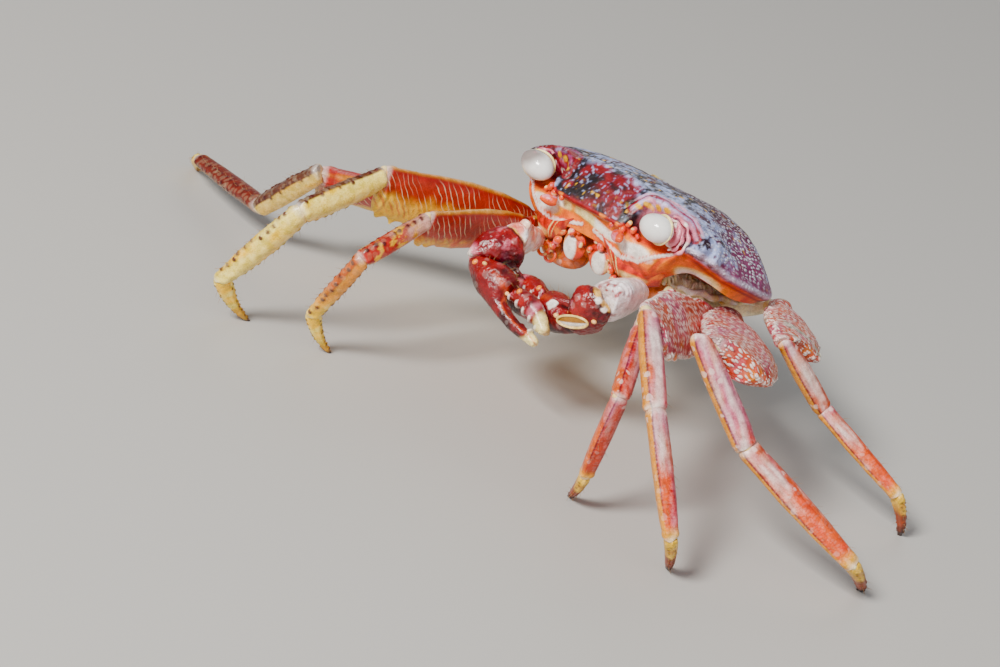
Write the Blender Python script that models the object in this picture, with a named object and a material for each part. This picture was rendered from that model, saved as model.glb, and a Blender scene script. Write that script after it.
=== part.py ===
"""Shore crab, life size, in a resting walk: carapace, thorax, abdomen, eyes, mouthparts, claws and legs.

Part frame: metres, +Z up.  The origin is on the floor under the middle of the whole crab.
The crab faces -Y and its left side is +X.  It is built about a floor point under the middle of
the carapace and then centred.  Body measures are in millimetres, given as
(left, forward, up) from the middle of the carapace.
"""
import math

import bpy
from mathutils import Matrix, Vector

MM = 0.001
GAP = 0.3                      # clearance between neighbouring plates
CARVE_GAP = 0.4                # clearance cut for a plate that lies against another

# Stance of the body
BODY_HEIGHT = 38.3             # middle of the carapace above the floor
BODY_PITCH = 21.5              # front raised, degrees
BODY_ROLL = 1.8                # left side raised, degrees

# Carapace
HALF_WIDTH = 30.6
HALF_LENGTH = 29.0
OUTLINE_CENTRE = -2.0          # middle of the outline, forward of the body origin
OUTLINE_POWER = 2.6            # squareness of the outline
REAR_POWER = 2.25              # the same behind the widest part
SHELL_LIFT = 2.5               # the shell is raised at the rear by this many degrees
SHELL_HINGE = 22.0             # about this line near the front
CROWN = 10.5                   # top of the dome
CROWN_POWER = 3.6              # flatness of the dome
FRONT_EDGE = -1.6              # height of the turned-down front
SIDE_EDGE = -2.2
REAR_EDGE = 1.0
FRONT_SHOULDER = 5.0           # level from which the dome springs at the front
LOBE = 1.0                     # the four lobes behind the front
ORBIT_START = 21.0             # eye socket, degrees round from the front
ORBIT_END = 48.5
ORBIT_DEPTH = 0.24             # depth of the socket as a share of the outline
BROW = 6.4                     # upper edge of the socket
SOCKET_FLOOR = 0.6
SOCKET_LIP = -3.6              # lower edge of the socket
CORNER_TOOTH = 0.05            # tooth outside the socket, share of the outline
SIDE_TOOTH = 0.035
CORNER_TOOTH_PLACE = 51.0      # degrees round from the front
SIDE_TOOTH_PLACE = 58.0
TOOTH_SPREAD = 3.5
WALL_MOUTH = 5.2               # drop of the wall below the rim, over the mouth
WALL_CHEEK = 9.0
WALL_SIDE = 3.2
WALL_REAR = 2.0
RIB_ANGLES = (0, 7, 14, 19, 23, 27, 31, 35, 40, 44, 47, 51, 55, 58, 62, 71, 81, 92, 103, 114, 125,
              135, 144, 153, 162, 171, 180)
DOME_RINGS = (0.16, 0.34, 0.52, 0.67, 0.78, 0.87)

# Thorax
THORAX_TOP = -6.4
THORAX_BOTTOM = -12.4
COXA_RADII = {1: 3.6, 2: 3.4, 3: 3.4, 4: 3.2, 5: 2.6}
COXA_REACHES = {1: 6.0, 2: 6.0, 3: 6.0, 4: 7.0, 5: 11.0}    # half lengths of the limb bases
COXA_GAP = 0.6
ROOT_LEVEL = -9.0              # level the limb bases spring from

# Limb bases on the left side
BASES = {
    1: (14.5, 15.5, -13.4),
    2: (20.0, 9.5, -10.8),
    3: (23.0, -1.0, -10.0),
    4: (23.0, -12.0, -9.5),
    5: (24.6, -28.5, -1.4),
}

# Lengths of the limb plates: merus with its base, carpus, propodus, dactyl
LENGTHS = {
    1: (18.0, 8.6, 9.6, 13.9),
    2: (38.8, 17.3, 20.1, 12.2),
    3: (51.4, 21.7, 24.9, 14.2),
    4: (62.6, 23.2, 32.0, 14.3),
    5: (41.7, 18.1, 24.3, 12.1),
}
GIRTHS = {2: 0.86, 3: 1.0, 4: 1.06, 5: 0.88}
MERUS_BREADTH = {2: 1.0, 3: 1.05, 4: 1.3, 5: 1.2}     # extra breadth of the merus blade
MERUS_LEAN = {2: 1.0, 3: 1.1, 4: 3.0, 5: 1.2}       # extra shift of the blade to the flexor side
MERUS_THICKNESS = {2: 0.82, 3: 0.82, 4: 1.3, 5: 1.1}

# Pose: (heading, rise) of each plate in degrees.  Heading 0 is the crab's left, 90 straight ahead.
POSE = {
    "R2": ((91.8, 6.8), (95.3, -27.4), (178.1, -63.3), (-79.8, -53.5)),
    "R3": ((105.1, 12.4), (96.1, -19.5), (152.3, -58.1), (-80.7, -48.2)),
    "R4": ((130.3, 1.9), (185.3, -44.5), (195.1, -5.6), (223.9, -29.8)),
    "R5": ((247.0, -9.5), (236.0, -9.0), (232.0, -11.0), (262.0, -62.0)),
    "L2": ((64.8, 8.3), (56.3, -30.1), (209.5, -80.7), (223.9, -50.8)),
    "L3": ((71.7, 15.1), (35.3, -31.3), (10.0, -54.8), (-109.4, -51.2)),
    "L4": ((63.4, 15.6), (-20.1, -47.7), (-27.6, -29.8), (-93.9, -41.7)),
    "L5": ((55.5, 10.4), (-48.8, -45.1), (-17.9, -27.9), (-73.3, -61.3)),
    "R1": ((72.4, 14.0), (98.0, -34.5), (4.8, -20.1), (4.8, -20.1)),
    "L1": ((76.6, 8.4), (171.0, -54.5), (185.6, -9.6), (185.6, -9.6)),
}
TWIST = {"R2": -15, "R3": -18, "R4": -18, "R5": -20, "L2": 10, "L3": 8, "L4": 31, "L5": 26}

# Plate shapes: (place along the plate, shift to the flexor side, half height, half thickness)
MERUS = (
    (0.00, 0.0, 2.5, 2.1), (0.07, 0.0, 3.0, 2.4), (0.13, 0.1, 2.7, 2.1), (0.20, 0.5, 4.0, 2.3),
    (0.34, 1.2, 5.7, 2.8), (0.52, 1.9, 6.6, 3.0), (0.68, 2.3, 6.5, 2.9), (0.80, 2.4, 6.0, 2.7),
    (0.84, 2.3, 5.8, 2.6), (0.88, 2.4, 5.7, 2.6), (0.92, 2.3, 5.4, 2.5), (0.96, 2.3, 5.3, 2.5),
    (1.00, 2.0, 4.7, 2.3),
)
MERUS_TEETH = {8: 0.0, 9: 0.9, 10: 0.0, 11: 1.1}
CARPUS = (
    (0.00, 0.0, 2.2, 1.8), (0.10, 0.0, 2.7, 2.1), (0.40, -0.1, 3.0, 2.4), (0.70, 0.0, 3.1, 2.4),
    (0.90, 0.0, 3.0, 2.3), (1.00, 0.0, 2.4, 1.9),
)
PROPODUS = (
    (0.00, 0.0, 2.2, 1.7), (0.12, 0.0, 2.8, 2.0), (0.40, 0.0, 3.1, 2.0), (0.70, 0.0, 2.8, 1.9),
    (0.90, 0.0, 2.3, 1.7), (1.00, 0.0, 1.8, 1.4),
)
DACTYL = (
    (0.00, 0.0, 1.7, 1.3), (0.15, -0.4, 1.8, 1.4), (0.40, -0.9, 1.5, 1.2), (0.65, -0.9, 1.2, 1.0),
    (0.85, -0.5, 0.9, 0.8), (1.00, 0.0, 0.5, 0.5),
)
CLAW_ARM = (
    (0.00, 0.0, 2.8, 2.3), (0.12, 0.0, 3.3, 2.6), (0.35, 0.2, 4.2, 3.0), (0.65, 0.4, 5.0, 3.4),
    (0.90, 0.4, 5.1, 3.4), (1.00, 0.2, 4.2, 2.9),
)
CLAW_WRIST = (
    (0.00, 0.0, 2.8, 2.5), (0.15, 0.2, 4.3, 3.6), (0.40, 0.4, 5.2, 4.1), (0.65, 0.4, 5.0, 4.0),
    (0.88, 0.2, 4.0, 3.2), (1.00, 0.0, 3.0, 2.5),
)
# The palm runs on into the fixed finger; its shift is towards the movable finger
PALM = (
    (0.00, 0.0, 2.3, 2.2), (0.07, -0.1, 3.3, 2.8), (0.18, -0.1, 4.0, 3.2), (0.30, -0.1, 4.1, 3.2),
    (0.38, -0.3, 3.8, 3.0), (0.43, -1.9, 2.3, 2.4), (0.50, -2.4, 1.8, 2.0), (0.65, -2.5, 1.5, 1.8),
    (0.80, -2.0, 1.4, 1.6), (0.92, -1.2, 1.3, 1.6), (1.00, -0.9, 0.8, 1.1),
)
FINGER = (
    (0.00, 0.0, 1.4, 1.5), (0.10, 0.2, 1.9, 1.9), (0.30, 0.8, 1.9, 1.9), (0.55, 0.9, 1.7, 1.8),
    (0.78, 0.5, 1.5, 1.7), (0.92, 0.1, 1.3, 1.6), (1.00, 0.0, 0.8, 1.0),
)
FINGER_HINGE = (0.455, 2.1)    # along the whole claw, and above its axis
FINGER_TIP = (0.99, 2.2)
KNEE_ROOM = 3.6                # space the merus leaves beside the carpus
LEG_CORNER = 2.6               # how far a plate runs on past a bent joint
CLAW_CORNER = 1.4
WRIST_SPINE = 7.6              # length of the inner spine of the wrist, from the plate's middle
WRIST_SPINE_AIM = {"L": Vector((-0.81, -0.58, 0.05)), "R": Vector((0.82, 0.36, -0.42))}
PALM_UP = {"L": Vector((0.05, 0.55, 0.83)), "R": Vector((0.22, 0.57, 0.79))}

# Eyes, feelers and mouth
EYE_PLACE = (17.3, 25.6, 1.3)
EYE_SIZE = (4.0, 3.3, 3.4)
STALK_ROOT = (20.0, 19.6, 2.0)
FEELER_ROOT = (8.6, 25.2, -3.9)
FEELER_TIP = (11.6, 27.0, -4.6)
JAW_TOP = (3.3, 19.2, -7.6)
JAW_FOOT = (4.2, 16.4, -13.2)

BODY = (Matrix.Translation((0, 0, BODY_HEIGHT * MM)) @ Matrix.Rotation(math.radians(-BODY_PITCH), 4, "X")
        @ Matrix.Rotation(math.radians(-BODY_ROLL), 4, "Y"))

COLOURS = {
    "shell": ((0.16, 0.05, 0.08, 1), 0.45),
    "pale": ((0.78, 0.52, 0.30, 1), 0.55),
    "left": ((0.66, 0.36, 0.38, 1), 0.5),
    "right": ((0.75, 0.42, 0.16, 1), 0.5),
    "claw": ((0.40, 0.03, 0.04, 1), 0.35),
    "eye": ((0.85, 0.82, 0.76, 1), 0.15),
}


def clear_scene():
    for thing in list(bpy.data.objects):
        bpy.data.objects.remove(thing)


def body_point(left, forward, up):
    """Point of the body in part metres."""
    return BODY @ (Vector((left, -forward, up)) * MM)


def mix(low, high, share):
    return low + (high - low) * share


def smooth(value, start, end):
    share = min(1.0, max(0.0, (value - start) / (end - start)))
    return share * share * (3 - 2 * share)


def add_plate(name, rings, colour, placement, collection):
    """One closed plate from rings of points, its ends closed to their middles."""
    points = [p * MM for ring in rings for p in ring]
    count = len(rings[0])
    faces = []
    for row in range(len(rings) - 1):
        for step in range(count):
            a = row * count + step
            b = row * count + (step + 1) % count
            faces.append((a, b, b + count, a + count))
    for row, flip in ((0, True), (len(rings) - 1, False)):
        middle = sum(rings[row], Vector()) / count
        points.append(middle * MM)
        for step in range(count):
            a = row * count + step
            b = row * count + (step + 1) % count
            faces.append((b, a, len(points) - 1) if flip else (a, b, len(points) - 1))
    mesh = bpy.data.meshes.new(name)
    mesh.from_pydata(points, [], faces)
    mesh.update()
    item = bpy.data.objects.new(name, mesh)
    collection.objects.link(item)
    item.matrix_world = placement
    paint(item, colour)
    return item


def paint(item, colour):
    tint, roughness = COLOURS[colour]
    material = bpy.data.materials.new(item.name)
    material.use_nodes = True
    shader = material.node_tree.nodes["Principled BSDF"]
    shader.inputs["Base Color"].default_value = tint
    shader.inputs["Roughness"].default_value = roughness
    item.data.materials.clear()
    item.data.materials.append(material)


def outline_radius(angle, half_width, half_length, power):
    side = abs(math.sin(angle) / half_width) ** power
    front = abs(math.cos(angle) / half_length) ** power
    return (side + front) ** (-1 / power)


# ---------------------------------------------------------------- carapace

def shell_point(degrees, share, height):
    """Point of the shell at a share of its outline, raised about the hinge line."""
    angle = math.radians(degrees)
    power = mix(OUTLINE_POWER, REAR_POWER, smooth(abs(degrees), 90, 120))
    radius = share * outline_radius(angle, HALF_WIDTH, HALF_LENGTH, power)
    left = radius * math.sin(angle)
    forward = OUTLINE_CENTRE + radius * math.cos(angle)
    lift = math.radians(SHELL_LIFT)
    behind = SHELL_HINGE - forward
    back = SHELL_HINGE - (behind * math.cos(lift) + height * math.sin(lift))
    up = height * math.cos(lift) + behind * math.sin(lift)
    return Vector((left, -back, up))


def shell_profile(degrees):
    """(share, height) down one rib, from the crown to the underside."""
    turn = abs(degrees)
    front = 1 - smooth(turn, 17, 23)
    socket = smooth(turn, ORBIT_START, ORBIT_START + 6) * (1 - smooth(turn, ORBIT_END - 6, ORBIT_END))
    face = 1 - smooth(turn, 46, 80)
    rear = smooth(turn, 118, 160)
    edge = mix(mix(SIDE_EDGE, REAR_EDGE, rear), 2.4, face * (1 - front))
    edge = mix(edge, FRONT_EDGE, front)
    spring = mix(mix(SIDE_EDGE, REAR_EDGE, rear), FRONT_SHOULDER, face)
    profile = []
    for share in DOME_RINGS:
        height = spring + (CROWN - spring) * (1 - share ** CROWN_POWER)
        if share > 0.8:
            height += LOBE * front * abs(math.sin(math.radians(turn * 11)))
        profile.append((share, height))
    brow_share = mix(mix(0.955, 0.925, socket), 0.965, front)
    brow = mix(mix(edge + 2.2, BROW, max(socket, face * 0.6)), 3.0, front)
    profile.append((brow_share, brow))
    tooth = CORNER_TOOTH * max(0.0, 1 - abs(turn - CORNER_TOOTH_PLACE) / TOOTH_SPREAD)
    tooth += SIDE_TOOTH * max(0.0, 1 - abs(turn - SIDE_TOOTH_PLACE) / TOOTH_SPREAD)
    profile.append((mix(1 + tooth, 1 - ORBIT_DEPTH, socket), mix(edge, SOCKET_FLOOR, socket)))
    lip = mix(mix(edge - 1.2, SOCKET_LIP, max(socket, face * 0.5)), FRONT_EDGE - 1.0, front)
    profile.append((mix(mix(0.965, 0.945, face), 0.90, front), lip))
    cheek = 1 - smooth(turn, 38, 58)
    drop = mix(mix(WALL_SIDE, WALL_REAR, smooth(turn, 90, 125)), WALL_CHEEK, cheek)
    drop = mix(drop, WALL_MOUTH, 1 - smooth(turn, 12, 26))
    foot = mix(edge, min(edge, SIDE_EDGE), face) - drop
    inset = mix(0.92, mix(0.80, 0.75, smooth(turn, 15, 30)), face) - 0.06 * socket
    profile.append((inset, foot))
    profile.append((inset - 0.06, max(foot, -5.8) + 0.2))
    profile.append((0.45, -5.4))
    return profile


def make_shell(collection):
    ribs = [-a for a in RIB_ANGLES] + list(reversed(RIB_ANGLES[1:-1]))
    profiles = [shell_profile(a) for a in ribs]
    rings = []
    for row in range(len(profiles[0])):
        rings.append([shell_point(a, *profiles[i][row]) for i, a in enumerate(ribs)])
    return add_plate("carapace", rings, "shell", BODY, collection)


# ---------------------------------------------------------------- thorax and abdomen

def oval_ring(half_width, half_length, centre, height, count=20, power=2.4):
    ring = []
    for step in range(count):
        angle = math.tau * step / count
        radius = outline_radius(angle, half_width, half_length, power)
        ring.append(Vector((radius * math.sin(angle), -(centre + radius * math.cos(angle)), height)))
    return ring


def make_thorax(collection):
    rings = [
        oval_ring(17.0, 17.5, -4.5, THORAX_TOP),
        oval_ring(19.0, 19.5, -5.0, mix(THORAX_TOP, THORAX_BOTTOM, 0.3)),
        oval_ring(17.0, 18.0, -5.0, mix(THORAX_TOP, THORAX_BOTTOM, 0.8)),
        oval_ring(12.5, 14.0, -5.0, THORAX_BOTTOM),
    ]
    thorax = add_plate("thorax", rings, "pale", BODY, collection)
    for number in BASES:
        for side in (-1, 1):
            base, aim = limb_base(number, side)
            centre = base - aim * (COXA_REACHES[number] + COXA_GAP)
            bpy.ops.mesh.primitive_ico_sphere_add(subdivisions=2, radius=COXA_RADII[number] * MM,
                                                  location=centre * MM)
            coxa = bpy.context.object
            coxa.rotation_euler = aim.to_track_quat("Z", "Y").to_euler()
            coxa.scale.z = COXA_REACHES[number] / COXA_RADII[number]
            join(thorax, bpy.context.object)
    return thorax


def join(item, extra):
    """Unite another closed piece with a plate."""
    combine(item, extra, "UNION")


def combine(item, extra, operation):
    union = item.modifiers.new("join", "BOOLEAN")
    union.operation = operation
    union.solver = "EXACT"
    union.object = extra
    bpy.context.view_layer.update()
    graph = bpy.context.evaluated_depsgraph_get()
    mesh = bpy.data.meshes.new_from_object(item.evaluated_get(graph))
    item.modifiers.clear()
    material = item.data.materials[0]
    item.data = mesh
    mesh.materials.clear()
    mesh.materials.append(material)
    for face in mesh.polygons:
        face.material_index = 0
    bpy.data.objects.remove(extra)


def make_abdomen(collection):
    """Narrow tail plate folded forward under the thorax."""
    path = ((-29.4, -2.8, 9.5), (-29.2, -6.0, 9.5), (-27.8, -9.6, 9.2), (-24.2, -12.8, 8.2),
            (-18.5, -14.1, 6.8), (-10.0, -14.2, 4.8), (-3.0, -14.0, 3.0), (1.5, -13.9, 1.3))
    rings = []
    for place, (forward, up, half) in enumerate(path):
        ahead = path[min(place + 1, len(path) - 1)]
        behind = path[max(place - 1, 0)]
        along = Vector((0, ahead[0] - behind[0], ahead[1] - behind[1])).normalized()
        out = Vector((0, along.z, -along.y))
        ring = []
        for step in range(10):
            angle = math.tau * step / 10
            side = half * math.cos(angle)
            thick = 0.75 * math.sin(angle)
            ring.append(Vector((-side, -(forward + out.y * thick), up + out.z * thick)))
        rings.append(ring)
    return add_plate("abdomen", rings, "pale", BODY, collection)


# ---------------------------------------------------------------- limbs

def limb_base(number, side):
    """Base point and outward aim of a limb, in part millimetres."""
    left, forward, up = BASES[number]
    base = body_point(side * left, forward, up) / MM
    root = body_point(side * left * 0.45, forward * 0.72 - 1.0, min(up + 0.6, ROOT_LEVEL)) / MM
    return base, (base - root).normalized()


def heading(turn, rise):
    turn = math.radians(turn)
    rise = math.radians(rise)
    return Vector((math.cos(rise) * math.cos(turn), -math.cos(rise) * math.sin(turn), math.sin(rise)))


def across(direction, axis):
    """Part of a direction square to an axis, as a unit vector."""
    return (direction - direction.dot(axis) * axis).normalized()


def end_cut(point_side, axis, normal, clearance):
    """How far along the axis a side point lies when it meets a cutting plane."""
    return (clearance - point_side.dot(normal)) / axis.dot(normal)


def limb_plate(name, start, end, flexor, shape, colour, collection, before, after, girth=1.0,
               teeth=None, neighbour=0.0, count=10, foot=False, corner=0.0, fade=1):
    """Plate between two joints, cut square to the bisectors of its joints."""
    axis = (end - start).normalized()
    length = (end - start).length
    broad = across(flexor, axis)
    thin = axis.cross(broad)
    rings = []
    for row, (place, shift, half, thick) in enumerate(shape):
        ring = []
        for step in range(count):
            angle = math.tau * step / count
            reach = (shift + half * math.cos(angle)) * girth
            if teeth and step == 0:
                reach += teeth.get(row, 0.0)
            width = thick * math.sin(angle) * girth
            side = broad * reach + thin * width
            near = end_cut(side, axis, before, GAP / 2)
            if foot:
                far = -(end.z + side.z) / axis.z + length
            else:
                far = length + end_cut(side, axis, after, -GAP / 2)
            if neighbour:
                following = (2 * axis.dot(after) * after - axis).normalized()
                inner = across(axis, following) * -1
                beside = length + (neighbour + GAP - side.dot(inner)) / axis.dot(inner)
                far = min(max(far, beside), max(far, length - 1.2))
            near = max(near, -corner)
            if not foot:
                far = min(far, length + corner)
            along = length * place + near * (1 - place) ** fade + (far - length) * place ** fade
            ring.append(Vector((along, reach, width)))
        rings.append(ring)
    placement = Matrix.Identity(4)
    for column, vector in enumerate((axis, broad, thin)):
        for row in range(3):
            placement[row][column] = vector[row]
    placement.translation = start * MM
    return add_plate(name, rings, colour, placement, collection)


def limb_chain(key):
    number = int(key[1])
    side = 1 if key[0] == "L" else -1
    point, aim = limb_base(number, side)
    joints = [point]
    ways = [heading(*pair) for pair in POSE[key]]
    lengths = list(LENGTHS[number])
    for way, length in zip(ways[:3], lengths[:3]):
        joints.append(joints[-1] + way * length)
    last = lengths[3]
    if number > 1:
        last = joints[-1].z / -ways[3].z
    joints.append(joints[-1] + ways[3] * last)
    return joints, ways, aim


def carve(item, other):
    """Cut clearance for a neighbouring plate out of a plate."""
    cutter = other.copy()
    cutter.data = other.data.copy()
    normals = [vertex.normal.copy() for vertex in cutter.data.vertices]
    for vertex, normal in zip(cutter.data.vertices, normals):
        vertex.co += normal * CARVE_GAP * MM
    bpy.context.scene.collection.objects.link(cutter)
    combine(item, cutter, "DIFFERENCE")


def make_leg(key, collection):
    joints, ways, aim = limb_chain(key)
    number = int(key[1])
    girth = GIRTHS[number]
    colour = "left" if key[0] == "L" else "right"
    bisectors = [(before + after).normalized() for before, after in zip([aim] + ways[:3], ways)]
    turn = Matrix.Rotation(math.radians(TWIST[key]), 3, ways[0])
    flexor = turn @ across(ways[1], ways[0])
    names = ("merus", "carpus", "propodus", "dactyl")
    shapes = (MERUS, CARPUS, PROPODUS, DACTYL)
    plates = []
    for part in range(4):
        last = part == 3
        after = Vector((0, 0, -1)) if last else bisectors[part + 1]
        if last:
            flexor = across(ways[2] * -1, ways[3])
        shape = shapes[part]
        if part == 0:
            breadth = MERUS_BREADTH[number]
            thickness = MERUS_THICKNESS[number]
            shape = [(a, b * MERUS_LEAN[number], c * breadth, d * thickness) for a, b, c, d in shape]
        plate = limb_plate(f"leg{number}_{names[part]}_{key[0]}", joints[part], joints[part + 1], flexor,
                   shape, colour, collection, bisectors[part], after, girth,
                   teeth=MERUS_TEETH if part == 0 else None,
                   neighbour=KNEE_ROOM * girth if part == 0 else 0.0,
                   count=8 if last else 10, foot=last, corner=LEG_CORNER)
        plates.append(plate)
        if part < 3:
            flexor = ways[part].rotation_difference(ways[part + 1]).to_matrix() @ flexor
    carve(plates[0], plates[1])
    return plates


def make_claw(key, collection):
    joints, ways, aim = limb_chain(key)
    side = key[0]
    bend_elbow = (ways[0] + ways[1]).normalized()
    bend_wrist = (ways[1] + ways[2]).normalized()
    limb_plate(f"claw_arm_{side}", joints[0], joints[1], across(ways[1], ways[0]), CLAW_ARM, "claw",
               collection, (aim + ways[0]).normalized(), bend_elbow, corner=CLAW_CORNER)
    middle = (joints[1] + joints[2]) / 2
    wrist = limb_plate(f"claw_wrist_{side}", joints[1], joints[2], WRIST_SPINE_AIM[side], CLAW_WRIST, "claw",
                       collection, bend_elbow, bend_wrist, count=12, corner=CLAW_CORNER)
    spine_aim = WRIST_SPINE_AIM[side].normalized()
    bpy.ops.mesh.primitive_cone_add(vertices=10, radius1=1.9 * MM, radius2=0.25 * MM,
                                    depth=WRIST_SPINE * MM,
                                    location=(middle + spine_aim * WRIST_SPINE / 2) * MM,
                                    rotation=spine_aim.to_track_quat("Z", "Y").to_euler())
    join(wrist, bpy.context.object)
    claw_length = LENGTHS[1][2] + LENGTHS[1][3]
    tip = joints[4]
    axis = (tip - joints[2]).normalized()
    upper = across(PALM_UP[side], axis)
    limb_plate(f"claw_palm_{side}", joints[2], joints[2] + axis * claw_length, upper, PALM, "claw",
               collection, bend_wrist, axis, count=10, corner=CLAW_CORNER, fade=3)
    hinge = joints[2] + axis * claw_length * FINGER_HINGE[0] + upper * FINGER_HINGE[1]
    point = joints[2] + axis * claw_length * FINGER_TIP[0] + upper * FINGER_TIP[1]
    limb_plate(f"claw_finger_{side}", hinge, point, upper, FINGER, "claw", collection, axis, axis,
               count=10)


# ---------------------------------------------------------------- head

def make_ball(name, centre, size, colour, collection):
    rings = []
    for row in range(1, 8):
        lean = math.pi * row / 8
        ring = []
        for step in range(12):
            angle = math.tau * step / 12
            ring.append(centre + Vector((size[0] * math.sin(lean) * math.cos(angle),
                                         -size[1] * math.cos(lean),
                                         -size[2] * math.sin(lean) * math.sin(angle))))
        rings.append(ring)
    return add_plate(name, rings, colour, BODY, collection)


def make_rod(name, start, end, sizes, colour, collection, count=10, flat=1.0):
    """Tapered rod in body measures; sizes are (place along, radius)."""
    axis = (end - start).normalized()
    broad = across(Vector((1, 0, 0)), axis)
    thin = axis.cross(broad)
    rings = []
    for place, radius in sizes:
        ring = []
        for step in range(count):
            angle = math.tau * step / count
            offset = broad * math.cos(angle) + thin * math.sin(angle) * flat
            ring.append(start.lerp(end, place) + offset * radius)
        rings.append(ring)
    return add_plate(name, rings, colour, BODY, collection)


def make_head(side, collection):
    tag = "L" if side > 0 else "R"

    def place(measures):
        return Vector((side * measures[0], -measures[1], measures[2]))

    eye = place(EYE_PLACE)
    make_ball(f"eye_{tag}", eye, EYE_SIZE, "eye", collection)
    root = place(STALK_ROOT)
    aim = (eye - root).normalized()
    end = eye - aim * (EYE_SIZE[1] + 0.55)
    make_rod(f"eyestalk_{tag}", root, end, ((0.0, 1.4), (0.4, 2.3), (0.8, 2.7), (1.0, 2.2)), "pale",
             collection)
    make_rod(f"antenna_{tag}", place(FEELER_ROOT), place(FEELER_TIP),
             ((0.0, 0.9), (0.3, 1.3), (0.65, 1.1), (1.0, 0.5)), "pale", collection, count=8)
    make_rod(f"maxilliped_{tag}", place(JAW_TOP), place(JAW_FOOT),
             ((0.0, 1.7), (0.25, 2.8), (0.55, 3.1), (0.85, 2.4), (1.0, 1.3)), "pale", collection,
             flat=0.36)


def centre(collection):
    """Bring the middle of the crab's box over the origin."""
    points = [item.matrix_basis @ vertex.co for item in collection.objects for vertex in item.data.vertices]
    for axis in (0, 1):
        low = min(point[axis] for point in points)
        high = max(point[axis] for point in points)
        for item in collection.objects:
            item.location[axis] -= (low + high) / 2


def main():
    clear_scene()
    crab = bpy.data.collections.new("shore_crab")
    bpy.context.scene.collection.children.link(crab)
    make_shell(crab)
    make_thorax(crab)
    make_abdomen(crab)
    for side in (1, -1):
        make_head(side, crab)
    legs = {}
    for key in POSE:
        if key[1] == "1":
            make_claw(key, crab)
        else:
            legs[key] = make_leg(key, crab)
    carve(legs["L2"][0], legs["L3"][0])
    carve(legs["L3"][0], legs["L4"][0])
    centre(crab)


main()
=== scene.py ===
"""Looks of the shore crab: shell plates, eyes, mouthparts, joint skin, bristles and the stage.

Every plate is grown from the solid of the same name: its faces are rounded off, relief is
raised on it and colour is laid on by the plate's own measures (along, across, outward) or, on
the carapace, by body measures (left, forward, up).  Work is in millimetres until a mesh is made.
"""
import itertools
import math

import bmesh
import bpy
import numpy as np
from mathutils import Matrix, Vector


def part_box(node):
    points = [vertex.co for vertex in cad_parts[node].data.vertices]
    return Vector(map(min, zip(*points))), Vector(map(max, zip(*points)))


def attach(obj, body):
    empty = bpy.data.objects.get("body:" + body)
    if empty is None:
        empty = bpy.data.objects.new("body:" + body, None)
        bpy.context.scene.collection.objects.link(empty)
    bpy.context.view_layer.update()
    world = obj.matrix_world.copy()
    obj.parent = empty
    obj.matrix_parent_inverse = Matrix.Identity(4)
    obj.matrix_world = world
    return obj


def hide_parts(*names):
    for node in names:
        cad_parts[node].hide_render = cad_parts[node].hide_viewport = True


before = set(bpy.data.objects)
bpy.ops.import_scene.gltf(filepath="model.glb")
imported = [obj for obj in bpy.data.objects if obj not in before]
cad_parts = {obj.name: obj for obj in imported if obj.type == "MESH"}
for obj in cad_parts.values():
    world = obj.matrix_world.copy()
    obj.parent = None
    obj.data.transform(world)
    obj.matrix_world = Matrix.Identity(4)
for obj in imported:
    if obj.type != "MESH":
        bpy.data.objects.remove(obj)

bl_info = {
    "name": "Shore crab",
    "version": (1, 0, 0),
    "blender": (4, 5, 0),
    "location": "3D View > Sidebar > Crab",
    "description": "Builds the looks of a life-size shore crab around its solids",
    "category": "Object",
}

MM = 0.001
SIGN = {"L": 1, "R": -1}
WORD = {"L": "left", "R": "right"}
LEG_PARTS = ("merus", "carpus", "propodus", "dactyl")
CLAW_PARTS = ("arm", "wrist", "palm", "finger")
EYE_MIDDLE = (0.0, 25.6, 1.3)      # point between the eyes, in body measures
CELL_STEPS = np.array((374761393, 668265263, 1442695041))    # spread the cells of the noise
WELD = 1e-6                        # corners of a solid this close are one, in metres
FLOOR_HALF = 3.0                   # half the floor's width, in metres
FLOOR_GAP = 0.02                   # bristles end this far above the floor
BRISTLE_ROWS, BRISTLE_SIDES = 5, 4


# ---------------------------------------------------------------- colours and numbers

def srgb(red, green, blue):
    """Scene colour of a colour given as it looks on a screen, 0 to 1."""
    return tuple(v / 12.92 if v <= 0.04045 else ((v + 0.055) / 1.055) ** 2.4 for v in (red, green, blue))


def tone(colour):
    """A colour of the palette by its name, the colour of a coat, or a colour as it is."""
    if isinstance(colour, str):
        return np.array(getattr(bpy.context.scene.crab_colours, colour)[:3])
    return colour.tint if isinstance(colour, Coat) else colour


def blend(low, high, mask):
    """The first colour where the mask is 0, passing into the second where it is 1."""
    mask = np.asarray(mask)[..., None]
    return tone(low) * (1 - mask) + tone(high) * mask


class Coat:
    """Colour that is laid on in coats: calling it lays the next one over the last."""

    def __init__(self, low, high, mask):
        self.tint = blend(low, high, mask)

    def __call__(self, colour, mask):
        self.tint = blend(self.tint, colour, mask)


def lattice(cells, seed):
    """Repeatable value from 0 to 1 for each whole-number cell."""
    with np.errstate(over="ignore"):
        mixed = cells @ CELL_STEPS + seed * 97531
        mixed = (mixed ^ (mixed >> 13)) * 1274126177
        mixed = mixed ^ (mixed >> 16)
    return (mixed & 0xFFFF) / 65535.0


def noise(points, size, seed=0):
    """Smooth noise from -1 to 1 with grains of this size."""
    scaled = points / size + 500.0
    low = np.floor(scaled).astype(np.int64)
    part = scaled - low
    part = part * part * (3 - 2 * part)
    total = np.zeros(len(points))
    for corner in itertools.product((0, 1), repeat=3):
        step = np.array(corner)
        weight = np.prod(np.where(step == 1, part, 1 - part), axis=1)
        total += weight * lattice(low + step, seed)
    return total * 2 - 1


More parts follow.
